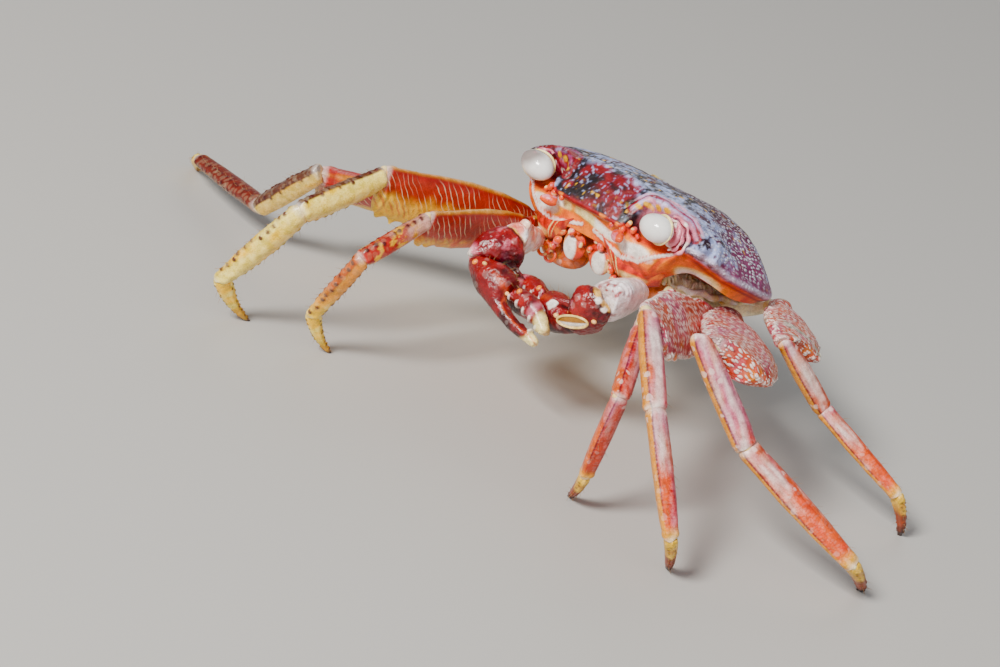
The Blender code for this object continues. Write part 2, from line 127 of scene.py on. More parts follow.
def rough(points, size, seed=0):
    """Noise with finer noise on it."""
    return (noise(points, size, seed) + 0.5 * noise(points, size / 2.1, seed + 1)
            + 0.25 * noise(points, size / 4.3, seed + 2)) / 1.4


def ramp(value, start, end):
    share = np.clip((value - start) / (end - start), 0, 1)
    return share * share * (3 - 2 * share)


def fall(value, start, end):
    """1 before the start, falling to 0 at the end."""
    return 1 - ramp(value, start, end)


def bump(value, middle, width):
    """1 at the middle, falling to 0 at this distance."""
    return fall(np.abs(value - middle), 0, width)


def patches(places):
    """Makers of masks in fine and in coarse patches, by their size, their seed and the ramp's ends."""
    def maker(kind):
        return lambda size, seed, start, end: ramp(kind(places, size, seed), start, end)

    return maker(noise), maker(rough)


def path_distance(across, up, path):
    """Distance from points to a line of straight pieces, in a plane."""
    best = np.full(len(across), 1e9)
    for (x0, y0), (x1, y1) in zip(path[:-1], path[1:]):
        dx, dy = x1 - x0, y1 - y0
        share = np.clip(((across - x0) * dx + (up - y0) * dy) / (dx * dx + dy * dy), 0, 1)
        best = np.minimum(best, np.hypot(across - x0 - share * dx, up - y0 - share * dy))
    return best


def oval(across, up, centre, radii, soft=0.5):
    """1 inside an oval, 0 outside, with a soft edge."""
    reach = np.hypot((across - centre[0]) / radii[0], (up - centre[1]) / radii[1])
    return fall(reach, 1 - soft / 2, 1 + soft / 2)


def unit(vector):
    vector = np.asarray(vector, float)
    return vector / np.linalg.norm(vector)


def square_to(direction, axis):
    return unit(direction - np.dot(direction, axis) * axis)


def turned(vector, old, new):
    turn = Vector(old).rotation_difference(Vector(new))
    return np.array(turn @ Vector(vector))


def bezier(points, share):
    """Places on the curve of four control points."""
    share = np.asarray(share)[:, None]
    a, b, c, d = (np.asarray(p, float) for p in points)
    return ((1 - share) ** 3 * a + 3 * share * (1 - share) ** 2 * b + 3 * share ** 2 * (1 - share) * c
            + share ** 3 * d)


# ---------------------------------------------------------------- meshes

def vectors_of(items, key):
    """One vector of each item, as rows."""
    flat = np.empty(len(items) * 3)
    items.foreach_get(key, flat)
    return flat.reshape(-1, 3)


def spots_of(mesh):
    """Vertex places of a mesh in millimetres."""
    return vectors_of(mesh.vertices, "co") / MM


def set_spots(mesh, places):
    mesh.vertices.foreach_set("co", (np.asarray(places) * MM).ravel())
    mesh.update()


def raise_relief(mesh, heights):
    lift = vectors_of(mesh.vertex_normals, "vector") * np.asarray(heights)[:, None]
    set_spots(mesh, spots_of(mesh) + lift)


def edited(work, name):
    """A mesh made from one that was being edited."""
    mesh = bpy.data.meshes.new(name)
    work.to_mesh(mesh)
    work.free()
    return mesh


def cage_of(node):
    """The node's mesh with its triangles joined back into four-sided faces."""
    welded = bmesh.new()
    welded.from_mesh(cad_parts[node].data)
    bmesh.ops.remove_doubles(welded, verts=welded.verts, dist=WELD)
    bmesh.ops.join_triangles(welded, faces=welded.faces, angle_face_threshold=math.pi,
                             angle_shape_threshold=math.pi, topology_influence=1)
    return edited(welded, node + "_cage")


def subdivided(mesh, levels):
    holder = bpy.data.objects.new("holder", mesh)
    bpy.context.scene.collection.objects.link(holder)
    rounding = holder.modifiers.new("round", "SUBSURF")
    rounding.levels = levels
    rounding.render_levels = levels
    graph = bpy.context.evaluated_depsgraph_get()
    made = bpy.data.meshes.new_from_object(holder.evaluated_get(graph))
    bpy.data.objects.remove(holder)
    return made


def sliced(mesh, start, axis, length, step):
    """The mesh with more cuts across its length, so that detail along it can be fine."""
    cut = bmesh.new()
    cut.from_mesh(mesh)
    for place in np.arange(step, length, step):
        bmesh.ops.bisect_plane(cut, geom=cut.verts[:] + cut.edges[:] + cut.faces[:], dist=2e-5,
                               plane_co=Vector((start + axis * place) * MM), plane_no=Vector(axis))
    return edited(cut, mesh.name)


def rounded(node, levels, pull=2, most=0.5, cuts=None):
    """The node's shape rounded off, with its corners kept where they were."""
    cage = cage_of(node)
    if cuts:
        cage = sliced(cage, *cuts)
    goal = spots_of(cage)
    for _ in range(pull):
        drift = goal - spots_of(subdivided(cage, 1))[:len(goal)]
        length = np.linalg.norm(drift, axis=1, keepdims=True)
        drift *= np.minimum(1, most / np.maximum(length, 1e-6))
        set_spots(cage, spots_of(cage) + drift)
    return subdivided(cage, levels)


def put(mesh, name, values):
    """Store colours or vectors on the vertices for the materials to read."""
    coloured = name == "tint"
    if coloured:
        values = np.column_stack([np.clip(values, 0, 1), np.ones(len(values))])
    layer = mesh.attributes.new(name, "FLOAT_COLOR" if coloured else "FLOAT_VECTOR", "POINT")
    layer.data.foreach_set("color" if coloured else "vector", np.asarray(values, np.float32).ravel())


def show(name, mesh, tint, slot="pale_shell", material="pale shell", node=None, marks=(0, 0, 0),
         measures=None):
    """Paint a mesh and show it as a piece parented to the body's root.

    The marks are shares of pale scales, pale spots and dark spots; the measures are what the
    patterns follow, and the node is the solid that the piece is shown in place of.
    """
    count = len(mesh.vertices)
    put(mesh, "tint", np.broadcast_to(tone(tint), (count, 3)))
    put(mesh, "marks", np.column_stack([np.broadcast_to(mark, count) for mark in marks]))
    put(mesh, "plate", spots_of(mesh) if measures is None else measures)
    mesh.name = name
    mesh.materials.clear()
    mesh.materials.append(bpy.data.materials[material])
    item = bpy.data.objects.new(name, mesh)
    bpy.context.scene.collection.objects.link(item)
    mesh.polygons.foreach_set("use_smooth", np.ones(len(mesh.polygons), bool))
    mesh.polygons.foreach_set("material_index", np.zeros(len(mesh.polygons), np.int32))
    mesh.update()
    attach(item, "root")
    if node:
        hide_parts(node)


def ring(middle, first, second, sides):
    """Places round a middle, by two directions as long as the ring's half axes."""
    turns = [math.tau * step / sides for step in range(sides)]
    return [middle + first * math.cos(turn) + second * math.sin(turn) for turn in turns]


def band(start, rows, sides):
    """Faces between rings that follow each other, with this many sides."""
    for row, step in itertools.product(range(rows - 1), range(sides)):
        a, b = start + row * sides + step, start + row * sides + (step + 1) % sides
        yield a, b, b + sides, a + sides


def tube_mesh(paths, sides=8):
    """One mesh of tapered tubes; each path is (points, radii)."""
    places, faces = [], []
    for points, radii in paths:
        points = np.asarray(points, float)
        along = np.gradient(points, axis=0)
        along /= np.linalg.norm(along, axis=1, keepdims=True) + 1e-9
        guide = np.array((0.3, 0.2, 0.93) if abs(along[0][2]) < 0.8 else (0.93, 0.3, 0.2))
        start, last = len(places), len(places) + (len(points) - 1) * sides
        for point, way, radius in zip(points, along, np.broadcast_to(radii, len(points))):
            guide = square_to(guide, way)
            places += ring(point, radius * guide, radius * np.cross(way, guide), sides)
        faces += [*band(start, len(points), sides), range(start, start + sides)[::-1],
                  range(last, last + sides)]
    mesh = bpy.data.meshes.new("tubes")
    mesh.from_pydata((np.array(places) * MM).tolist(), [], faces)
    mesh.update()
    return mesh


def closed_mesh(places, faces):
    """A mesh without doubled corners whose faces all look outward."""
    work = bmesh.new()
    corners = [work.verts.new(place * MM) for place in places]
    for face in faces:
        work.faces.new([corners[i] for i in face])
    bmesh.ops.remove_doubles(work, verts=work.verts, dist=WELD / 10)
    bmesh.ops.recalc_face_normals(work, faces=work.faces)
    return edited(work, "closed")


def ball_mesh(centre, axes, rows=48, sides=72):
    """Closed ball with three half axes (vectors); the first is its pole."""
    places = []
    for lean in (math.pi * row / rows for row in range(rows + 1)):
        places += ring(centre + axes[0] * math.cos(lean), axes[1] * math.sin(lean), axes[2] * math.sin(lean),
                       sides)
    return closed_mesh(places, [(a, d, c, b) for a, b, c, d in band(0, rows + 1, sides)])


def slab_mesh(front, offset):
    """Closed slab: a grid of places (rows, columns, 3) and the same moved by the offset."""
    back = front.shape[0] * front.shape[1]
    grid = np.arange(back).reshape(front.shape[:2])
    faces = []
    for row, column in itertools.product(*(range(size - 1) for size in grid.shape)):
        quad = [grid[row, column], grid[row, column + 1], grid[row + 1, column + 1], grid[row + 1, column]]
        faces += [quad, [back + i for i in reversed(quad)]]
    edge = [*grid[0], *grid[1:, -1], *grid[-1, -2::-1], *grid[-2:0:-1, 0]]
    faces += [(b, a, back + a, back + b) for a, b in zip(edge, edge[1:] + edge[:1])]
    return closed_mesh(np.concatenate([front.reshape(-1, 3), front.reshape(-1, 3) + offset]), faces)


def join(meshes):
    joined = bmesh.new()
    for mesh in meshes:
        joined.from_mesh(mesh)
    return edited(joined, "joined")


# ---------------------------------------------------------------- body and limb measures

def middle_of(node):
    low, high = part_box(node)
    return np.array((low + high) / 2) / MM


def body_axes():
    """Body origin and its left, forward and up directions, from the eyes and the set pitch."""
    pitch = bpy.context.scene.crab_sizes.pitch
    eyes = [middle_of("eye_" + side) for side in SIGN]
    left = unit(eyes[0] - eyes[1])
    forward = square_to(np.array((0, -math.cos(pitch), math.sin(pitch))), left)
    axes = np.array((left, forward, np.cross(left, -forward)))
    return (eyes[0] + eyes[1]) / 2 - np.array(EYE_MIDDLE) @ axes, axes


def to_body(places):
    origin, axes = body_axes()
    return (places - origin) @ axes.T


def from_body(measures):
    origin, axes = body_axes()
    return origin + np.asarray(measures, float) @ axes


def node_points(node):
    return spots_of(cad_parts[node].data)


def joint_between(first, second):
    """Middle of the place where two plates come closest."""
    a, b = node_points(first), node_points(second)
    gap = np.linalg.norm(a[:, None] - b[None], axis=2)
    near_a = a[np.argsort(gap.min(axis=1))[:24]]
    near_b = b[np.argsort(gap.min(axis=0))[:24]]
    return (near_a.mean(axis=0) + near_b.mean(axis=0)) / 2


class Plate:
    """Local measures of a limb plate: along it, to its flexor side, and to its flat side."""

    def __init__(self, node, start, end, flexor):
        self.node = node
        self.start = start
        self.axis = unit(end - start)
        self.broad = square_to(flexor, self.axis)
        self.flat = np.cross(self.axis, self.broad)
        local = self.measures(node_points(node))
        self.low, self.high = local.min(axis=0), local.max(axis=0)
        self.length = self.high[0] - self.low[0]

    def measures(self, places):
        return (places - self.start) @ np.array((self.axis, self.broad, self.flat)).T

    def skin(self, levels, cuts=None, **settings):
        """The plate's rounded mesh with its places, measures and shares."""
        if cuts:
            settings["cuts"] = (self.start + self.axis * self.low[0], self.axis, self.length, cuts)
        mesh = rounded(self.node, levels, **settings)
        places = spots_of(mesh)
        local = self.measures(places)
        return mesh, places, local, self.shares(local)

    def shares(self, local, bins=14):
        """0 to 1 along, then -1 to 1 across and flat, by the section at each place."""
        along = (local[:, 0] - self.low[0]) / self.length
        index = np.clip((along * bins).astype(int), 0, bins - 1)
        middles, halves, places = [], [], []
        for step in range(bins):
            here = local[index == step]
            if len(here) > 3:
                low, high = here[:, 1:].min(axis=0), here[:, 1:].max(axis=0)
                middles.append((low + high) / 2)
                halves.append(np.maximum((high - low) / 2, 0.25))
                places.append((step + 0.5) / bins)
        found = [along]
        for column, (middle, half) in enumerate(zip(np.transpose(middles), np.transpose(halves)), 1):
            offset = local[:, column] - np.interp(along, places, middle)
            found.append(np.clip(offset / np.interp(along, places, half), -1.2, 1.2))
        return found


def leg_plates(number, side):
    """The four plates of a walking leg and the places of its joints and tip."""
    nodes = [f"leg{number}_{name}_{side}" for name in LEG_PARTS]
    joints = [joint_between("thorax", nodes[0])]
    joints += [joint_between(a, b) for a, b in zip(nodes[:-1], nodes[1:])]
    tip = node_points(nodes[3])
    joints.append(tip[tip[:, 2] < tip[:, 2].min() + 0.2].mean(axis=0))
    ways = [unit(b - a) for a, b in zip(joints[:-1], joints[1:])]
    bend = square_to(ways[1], ways[0])
    points = node_points(nodes[0])
    along = (points - joints[0]) @ ways[0]
    blade = points[(along > 0.3 * along.max()) & (along < 0.8 * along.max())]
    spread = blade - blade.mean(axis=0)
    spread -= np.outer(spread @ ways[0], ways[0])
    flexor = np.linalg.svd(spread, full_matrices=False)[2][0]
    flexor = flexor if np.dot(flexor, bend) > 0 else -flexor
    plates = []
    for index, node in enumerate(nodes):
        if index == 3:
            flexor = square_to(-ways[2], ways[3])
        plates.append(Plate(node, joints[index], joints[index + 1], flexor))
        if index < 3:
            flexor = turned(plates[-1].broad, ways[index], ways[index + 1])
    return plates, joints


def claw_plates(side):
    """The four plates of a claw, the places of its joints and the point of the wrist's spine."""
    nodes = [f"claw_{name}_{side}" for name in CLAW_PARTS]
    joints = [joint_between("thorax", nodes[0]), joint_between(nodes[0], nodes[1]),
              joint_between(nodes[1], nodes[2])]
    palm, finger = node_points(nodes[2]), node_points(nodes[3])
    palm_tip = palm[np.linalg.norm(palm - joints[2], axis=1).argmax()]
    finger_tip = finger[np.linalg.norm(finger - joints[2], axis=1).argmax()]
    finger_root = finger[np.linalg.norm(finger - joints[2], axis=1).argmin()]
    wrist = node_points(nodes[1])
    spine = wrist[np.linalg.norm(wrist - wrist.mean(axis=0), axis=1).argmax()]
    to_finger = finger.mean(axis=0) - joints[2]
    arm = Plate(nodes[0], joints[0], joints[1], joints[2] - joints[1])
    wrist = Plate(nodes[1], joints[1], joints[2], spine - joints[1])
    palm = Plate(nodes[2], joints[2], palm_tip * 0.5 + finger_tip * 0.5, to_finger)
    finger = Plate(nodes[3], finger_root, finger_tip, palm.broad)
    return [arm, wrist, palm, finger], joints, spine


# ---------------------------------------------------------------- shader effects

class Maker:
    """Short way of laying out shader nodes."""

    def __init__(self, tree):
        self.tree = tree

    def node(self, kind, values=(), **settings):
        made = self.tree.nodes.new(kind if kind.startswith("NodeGroup") else "ShaderNode" + kind)
        for key, value in settings.items():
            setattr(made, key, value)
        for key, value in dict(values).items():
            self.feed(made.inputs[key], value)
        return made

    def feed(self, socket, value):
        if isinstance(value, bpy.types.NodeSocket):
            self.tree.links.new(value, socket)
        else:
            socket.default_value = value

    def math(self, kind, first, second=0.0, clamp=False):
        return self.node("Math", {0: first, 1: second}, operation=kind, use_clamp=clamp).outputs[0]

    def times(self, first, second, clamp=False):
        return self.math("MULTIPLY", first, second, clamp)

    def plus(self, first, second, clamp=False):
        return self.math("ADD", first, second, clamp)

    def minus(self, first, second):
        return self.math("SUBTRACT", first, second)

    def vector(self, kind, first, second):
        return self.node("VectorMath", {0: first, 1: second}, operation=kind).outputs[0]

    def split(self, vector):
        return self.node("SeparateXYZ", {0: vector}).outputs

    def span(self, value, start, end):
        return self.node("MapRange", {"Value": value, "From Min": start, "From Max": end},
                         interpolation_type="SMOOTHSTEP").outputs["Result"]

    def noise(self, vector, scale, detail=2.0):
        return self.node("TexNoise", {"Vector": vector, "Scale": scale, "Detail": detail}).outputs

    def cells(self, vector, scale, feature="F1", randomness=1.0):
        return self.node("TexVoronoi", {"Vector": vector, "Scale": scale, "Randomness": randomness},
                         feature=feature).outputs

    def painted(self, name):
        return self.node("Attribute", attribute_name=name).outputs

    def group(self, name, **values):
        return self.node("Group", values, node_tree=bpy.data.node_groups[name]).outputs


def new_group(name, inputs, outputs):
    """An empty node group; the input called Vector is a vector and all else are values."""
    tree = bpy.data.node_groups.new(name, "ShaderNodeTree")
    for way, labels in (("INPUT", inputs), ("OUTPUT", outputs)):
        for label in labels:
            kind = "NodeSocketVector" if label == "Vector" else "NodeSocketFloat"
            tree.interface.new_socket(label, in_out=way, socket_type=kind)
    make = Maker(tree)
    return make, make.node("NodeGroupInput").outputs, make.node("NodeGroupOutput").inputs


def scale_rows_group():
    """Pale raised grains, longer along the second measure."""
    make, given, gives = new_group("Scale rows", ("Vector", "Spacing"), ("Mask", "Height"))
    warp = make.vector("SUBTRACT", make.noise(given["Vector"], 0.25, 1.0)["Color"], (0.5, 0.5, 0.5))
    moved = make.vector("ADD", given["Vector"], make.vector("MULTIPLY", warp, (2.0, 2.0, 2.0)))
    packed = make.node("VectorMath", {0: make.vector("MULTIPLY", moved, (1.0, 0.42, 1.0))},
                       operation="SCALE")
    make.feed(packed.inputs["Scale"], make.math("DIVIDE", 1.0, given["Spacing"]))
    reach = make.cells(packed.outputs[0], 1.0, "F1", 0.62)["Distance"]
    make.feed(gives["Mask"], make.span(reach, 0.47, 0.33))
    make.feed(gives["Height"], make.span(reach, 0.6, 0.1))


def slant_lines_group():
    """Thin pale lines slanting across a plate."""
    make, given, gives = new_group("Slant lines", ("Vector", "Gap"), ("Mask", "Between"))
    place = make.split(given["Vector"])
    wander = make.times(make.noise(given["Vector"], 0.12, 2.0)["Fac"], 5.0)
    slant = make.plus(make.plus(place[0], make.times(place[1], 0.9)), wander)
    saw = make.math("FRACT", make.math("DIVIDE", slant, given["Gap"]))
    width = make.times(make.noise(given["Vector"], 0.5, 1.0)["Fac"], 0.12)
    reach = make.minus(make.math("ABSOLUTE", make.minus(saw, 0.5)), width)
    make.feed(gives["Mask"], make.span(reach, 0.05, -0.01))
    make.feed(gives["Between"], make.span(reach, 0.2, 0.32))


def spots_group():
    """Scattered round spots of mixed size."""
    make, given, gives = new_group("Spots", ("Vector", "Scale", "Size"), ("Mask",))
    warp = make.noise(given["Vector"], 0.9, 1.0)["Color"]
    moved = make.vector("ADD", given["Vector"], make.vector("MULTIPLY", warp, (0.8, 0.8, 0.8)))
    cells = make.cells(moved, given["Scale"])
    size = make.times(make.split(cells["Color"])[0], given["Size"])
    make.feed(gives["Mask"], make.span(make.minus(size, cells["Distance"]), 0.0, 0.08))


def grain_group():
    """Fine mottling, pits and grains of shell."""
    make, given, gives = new_group("Shell grain", ("Vector",), ("Tone", "Height"))
    cloud = make.noise(given["Vector"], 0.55, 4.0)["Fac"]
    fine = make.noise(given["Vector"], 3.2, 3.0)["Fac"]
    pits = make.cells(given["Vector"], 1.5, "SMOOTH_F1")["Distance"]
    make.feed(gives["Tone"], make.plus(make.times(cloud, 0.6), make.times(fine, 0.4)))
    make.feed(gives["Height"], make.plus(make.times(fine, 0.5), make.times(pits, 0.7)))


def new_material(name):
    """A new material: its maker, the measures painted on the mesh and the grain that follows them."""
    material = bpy.data.materials.new(name)
    material.use_nodes = True
    make = Maker(material.node_tree)
    plate = make.painted("plate")["Vector"]
    return make, plate, make.group("Shell grain", Vector=plate)


def lead(make, height, strength, values):
    """Lead the values and the relief into the shader of a material."""
    values["Normal"] = make.node("Bump", {"Height": height, "Strength": strength, "Distance": MM}).outputs[0]
    for key, value in values.items():
        make.feed(make.tree.nodes["Principled BSDF"].inputs[key], value)


def shell_material(name, rows=1.6, gloss=0.36, coat=0.25, pale=(0.93, 0.88, 0.84), dark=(0.16, 0.04, 0.05),
                   relief=0.35, grain=1.0, slant=0.0):
    """Shell: laid-on colour under rows of scales, spots and fine grain."""
    make, plate, grains = new_material(name)
    marks = make.split(make.painted("marks")["Vector"])
    lines = make.group("Scale rows", Vector=plate, Spacing=rows)
    light = make.group("Spots", Vector=plate, Scale=0.42, Size=0.42)
    deep = make.group("Spots", Vector=plate, Scale=0.55, Size=0.36)
    tones = make.span(grains["Tone"], 0.34, 0.66)
    colour = make.node("HueSaturation", {
        "Color": make.painted("tint")["Color"], "Value": make.plus(make.times(tones, 0.5), 0.74),
        "Saturation": make.minus(1.25, make.times(tones, 0.2))}).outputs[0]
    coats = [(deep["Mask"], marks[2], dark), (light["Mask"], marks[1], pale),
             (lines["Mask"], marks[0], pale)]
    if slant:
        bars = make.split(make.painted("bars")["Vector"])
        slants = make.group("Slant lines", Vector=plate, Gap=slant)
        coats += [(slants["Between"], bars[1], (0.78, 0.16, 0.03)), (slants["Mask"], bars[0], pale)]
    for mask, share, paint in coats:
        mixing = make.node("Mix", {0: make.times(mask, share, True)}, data_type="RGBA")
        make.feed(mixing.inputs[6], colour)
        make.feed(mixing.inputs[7], (*srgb(*paint), 1))
        colour = mixing.outputs[2]
    height = make.plus(make.times(lines["Height"], make.times(marks[0], relief)),
                       make.times(grains["Height"], 0.12 * grain))
    lead(make, height, 0.8, {
        "Base Color": colour, "Roughness": make.plus(gloss, make.times(grains["Tone"], 0.22), True),
        "Coat Weight": coat, "Coat Roughness": 0.18, "Subsurface Weight": 0.0})


def plain_material(name, gloss, coat=0.0, grain=1.0, subsurface=0.0, amount=0.3):
    """Laid-on colour with fine grain, for skin, gills, eyes and bristles."""
    make, _, grains = new_material(name)
    value = make.plus(make.times(make.span(grains["Tone"], 0.3, 0.7), amount), 1 - amount / 2)
    shade = make.node("HueSaturation", {"Color": make.painted("tint")["Color"], "Value": value}).outputs[0]
    soft = {"Subsurface Weight": subsurface, "Subsurface Radius": (0.0012, 0.0008, 0.0006),
            "Subsurface Scale": 1.0}
    lead(make, grains["Height"], 0.3 * grain, {
        "Base Color": shade, "Roughness": make.plus(gloss, make.times(grains["Tone"], 0.1)),
        "Coat Weight": coat, "Coat Roughness": 0.06, **(soft if subsurface else {})})


def need_materials():
    """Make the shared materials once."""
    if "crab shell" in bpy.data.materials:
        return
    scale_rows_group()
    slant_lines_group()
    spots_group()
    grain_group()
    shell_material("crab shell", rows=0.74, gloss=0.36, coat=0.05, pale=(0.9, 0.88, 0.94), relief=0.4)
    shell_material("left leg shell", rows=0.66, gloss=0.3, coat=0.15, pale=(0.98, 0.86, 0.82), relief=0.3)
    shell_material("right leg shell", rows=1.5, gloss=0.28, coat=0.25, pale=(1.0, 0.93, 0.74),
                   dark=(0.30, 0.04, 0.04), relief=0.3, slant=1.7)
    shell_material("claw shell", rows=2.2, gloss=0.2, coat=0.3, pale=(0.97, 0.90, 0.86), grain=2.0)
    shell_material("pale shell", rows=1.6, gloss=0.3, coat=0.3)
    plain_material("eye pearl", 0.12, coat=0.6, grain=0.1, amount=0.08)
    plain_material("joint skin", 0.5, coat=0.1, subsurface=0.2)
    plain_material("gill", 0.45, coat=0.3, subsurface=0.25)
    plain_material("bristle", 0.5, amount=0.2, grain=0.0)


# ---------------------------------------------------------------- carapace

FRONT_MARGIN = ((-9.6, -1.9), (9.6, -1.9))
RIM = ((1.7, -5.5), (10.5, -7.8), (14.7, -6.8), (20.5, -2.1))     # ridge under the cheek, one side
CHEEK_SUTURE = ((17.4, -7.5), (18.3, -6.0), (19.8, -3.2), (21.3, -1.2))
BROW_ARC = ((9.6, 2.6), (10.9, 6.0), (15.0, 6.3), (20.0, 5.6), (23.5, 3.2))
EPISTOME = ((-9.0, -3.4), (-3.4, -3.0), (0.2, -3.5), (5.7, -4.9), (9.6, -4.4))


def paint_carapace(mesh):
    """Colour and relief of the carapace and the face below it."""
    body = to_body(spots_of(mesh))
    fine, coarse = patches(body)
    facing = vectors_of(mesh.vertex_normals, "vector") @ body_axes()[1].T
    u, v, w = body.T
    side = np.abs(u)
    wander = np.column_stack([noise(body, 3.0, 20 + i) for i in range(3)])
    warped = body + 0.5 * wander
    wu, wv, ww = warped.T
    wide = np.abs(wu)
    cloud = rough(body, 7.0, 1)
    fleck = rough(body, 2.2, 5)
    top = ramp(facing[:, 2], 0.1, 0.45) * ramp(w, -1.0, 2.5)
    ahead = ramp(v, -4, 16)

    ground = Coat("shell_rear", "shell_front", np.clip(ahead + 0.35 * cloud, 0, 1))
    flank = ramp(side, 14, 27) * fall(v, 8, 20)
    ground("shell_flank", np.clip(flank * (0.75 + 0.5 * cloud), 0, 1))
    patch = rough(body, 4.2, 9) + 0.45 * bump(v, 14.0, 9.0) * (1 - 0.6 * ramp(side, 14, 20)) + 0.02
    patch += 0.35 * ramp(u, 8, 18) * bump(v, 12, 9)
    frost = ramp(patch, 0.0, 0.5) * ramp(rough(body * (1, 0.6, 1), 1.0, 33) + 0.45 * patch, -0.1, 0.4)
    ground("frost", 0.85 * frost)
    ground("front_dark", 0.8 * coarse(2.6, 35, 0.3, 0.6) * ramp(v, -12, 6))
    ground("front_red", 0.5 * coarse(3.4, 36, 0.3, 0.6) * (1 - frost))
    dots = fine(0.75, 37, 0.62, 0.74) * fine(7, 31, 0.0, 0.3)
    ground("yellow", 0.85 * dots)
    scales = np.clip(0.15 + 0.85 * flank + 0.5 * (1 - ahead) + 0.25 * noise(body, 6.0, 77), 0, 1)

    # Front: red and purple over a black middle, lobes behind with painted highlights on their tops
    front = ramp(v, 21.5, 23.5) * fall(side, 8.8, 10.2) * ramp(w, -2.2, -1.2)
    mottle = coarse(3.2, 12, -0.25, 0.35)
    face = Coat("front_dark", "front_red", mottle)
    face("front_dark", 0.85 * oval(wu, ww, (-2.0, 1.6), (4.0, 2.2), 0.8))
    for spot in ((-3.3, 6.6), (2.4, 6.4), (-7.4, 0.8), (5.2, 3.4)):
        face("front_red", 0.9 * oval(wu, ww, spot, (1.5, 1.0), 0.8))
    face("frost", 0.6 * coarse(1.4, 38, 0.3, 0.6) * ramp(w, 1.0, 4.5))
    face("yellow", 0.9 * fine(0.8, 39, 0.52, 0.68) * bump(w, 1.2, 2.6))
    face("frost", 0.5 * fine(0.5, 45, 0.4, 0.7))
    ground(face, front)
    scales = scales * (1 - front)
    lobes = np.zeros(len(u))
    for lobe in (-15.2, -6.6, 4.9, 13.4):
        lobes = np.maximum(lobes, oval(wu, wv, (lobe, 21.4), (2.9, 1.5), 0.9))
    # Pale tops of the lobes in the frost colour: painted highlight.
    ground("frost", 0.7 * lobes * ramp(w, 3.5, 5.0) * coarse(1.2, 52, -0.3, 0.2))
    margin_line = fall(path_distance(u, w, FRONT_MARGIN), 0.25, 0.6) * ramp(v, 22, 24)
    ground(blend("red", "orange", fine(1.5, 55, 0.0, 0.6)), margin_line)

    # Side margin: pale crest with a dark red line under it
    edge = fall(v, 20, 23)
    level = w + 1.6 - 2.2 * ramp(-v, 10, 22) - 1.2 * ramp(v, 8, 18)
    outer = ramp(side, 19, 24) + ramp(-v, 17, 22)
    crest = bump(level, 0.9, 1.0) * edge * np.clip(outer, 0, 1)
    ground("crest", 0.7 * crest)

    # Underside of the margin and the cheeks
    below = fall(level, -0.6, 0.3) * edge
    below = np.maximum(below, fall(w, -2.6, -2.0) * ramp(v, 14, 18))
    flesh = Coat("orange", "orange_red", np.clip(0.5 + 0.6 * noise(body, 4.0, 40), 0, 1))
    flesh("cream", 0.3 * fine(5.5, 41, 0.0, 0.7))
    flesh("yellow", 0.8 * oval(wide, ww, (13.6, -5.0), (5.4, 2.4), 0.5))
    flesh("white", oval(wide, ww, (13.4, -5.3), (4.4, 1.7), 0.5))
    flesh("orange", 0.9 * oval(wide, ww, (13.2, -2.9), (4.6, 0.8), 0.9))
    flesh("cream", oval(v, w, (11.5, -4.2), (5.0, 1.7), 0.5) * ramp(side, 17.5, 19.5))
    flesh("white", oval(v, w, (11.8, -4.3), (3.6, 1.1), 0.6) * ramp(side, 17.5, 19.5))
    hood = ramp(v, 17, 20) * fall(v, 21.5, 22.5) * ramp(side, 10.5, 11.5)
    flesh("orange", 0.95 * hood * oval(wide, ww, (13.2, -4.8), (7.4, 3.6), 0.1)
          * (1 - oval(wide, ww, (13.4, -5.0), (4.2, 1.5), 0.6)))
    band = fall(path_distance(u, w, EPISTOME), 0.7, 1.3)
    flesh(blend("cream", "white", fine(3.0, 48, -0.2, 0.3)), band * ramp(v, 21, 22.5))
    flesh("orange", 0.7 * bump(u, -4.8, 1.2) * ramp(v, 21, 22.5))
    rim = path_distance(side, w, RIM)
    lower = ramp(v, 16, 19) * fall(w + 0.25 * np.abs(side - 12), -7.4, -5.6) * fall(side, 16, 19)
    ridges = 0.5 + 0.5 * np.sin(3.6 * (side * 0.8 + w * 0.6))
    flesh(blend("orange_red", "red", ridges), 0.85 * lower)
    suture = fall(path_distance(side, w, CHEEK_SUTURE), 0.15, 0.6)
    flesh("orange_red", 0.75 * suture * ramp(v, 14, 16))
    flesh("orange_red", 0.9 * fall(rim, 0.35, 0.7) * ramp(v, 16, 18.5))
    flesh("white", 0.9 * fall(rim, 0.25, 0.5) * ramp(v, 16, 18.5))
    deep_edge = np.maximum(fall(w, -6.6, -5.4), ramp(-facing[:, 2], 0.86, 0.97)) * fall(v, 12, 16)
    flesh(blend("red", "dark_line", 0.5), 0.9 * deep_edge)
    ground(flesh, below)
    red_line = bump(level, -0.75, 0.55) * edge * np.clip(outer, 0, 1)
    ground("red", 0.85 * red_line)

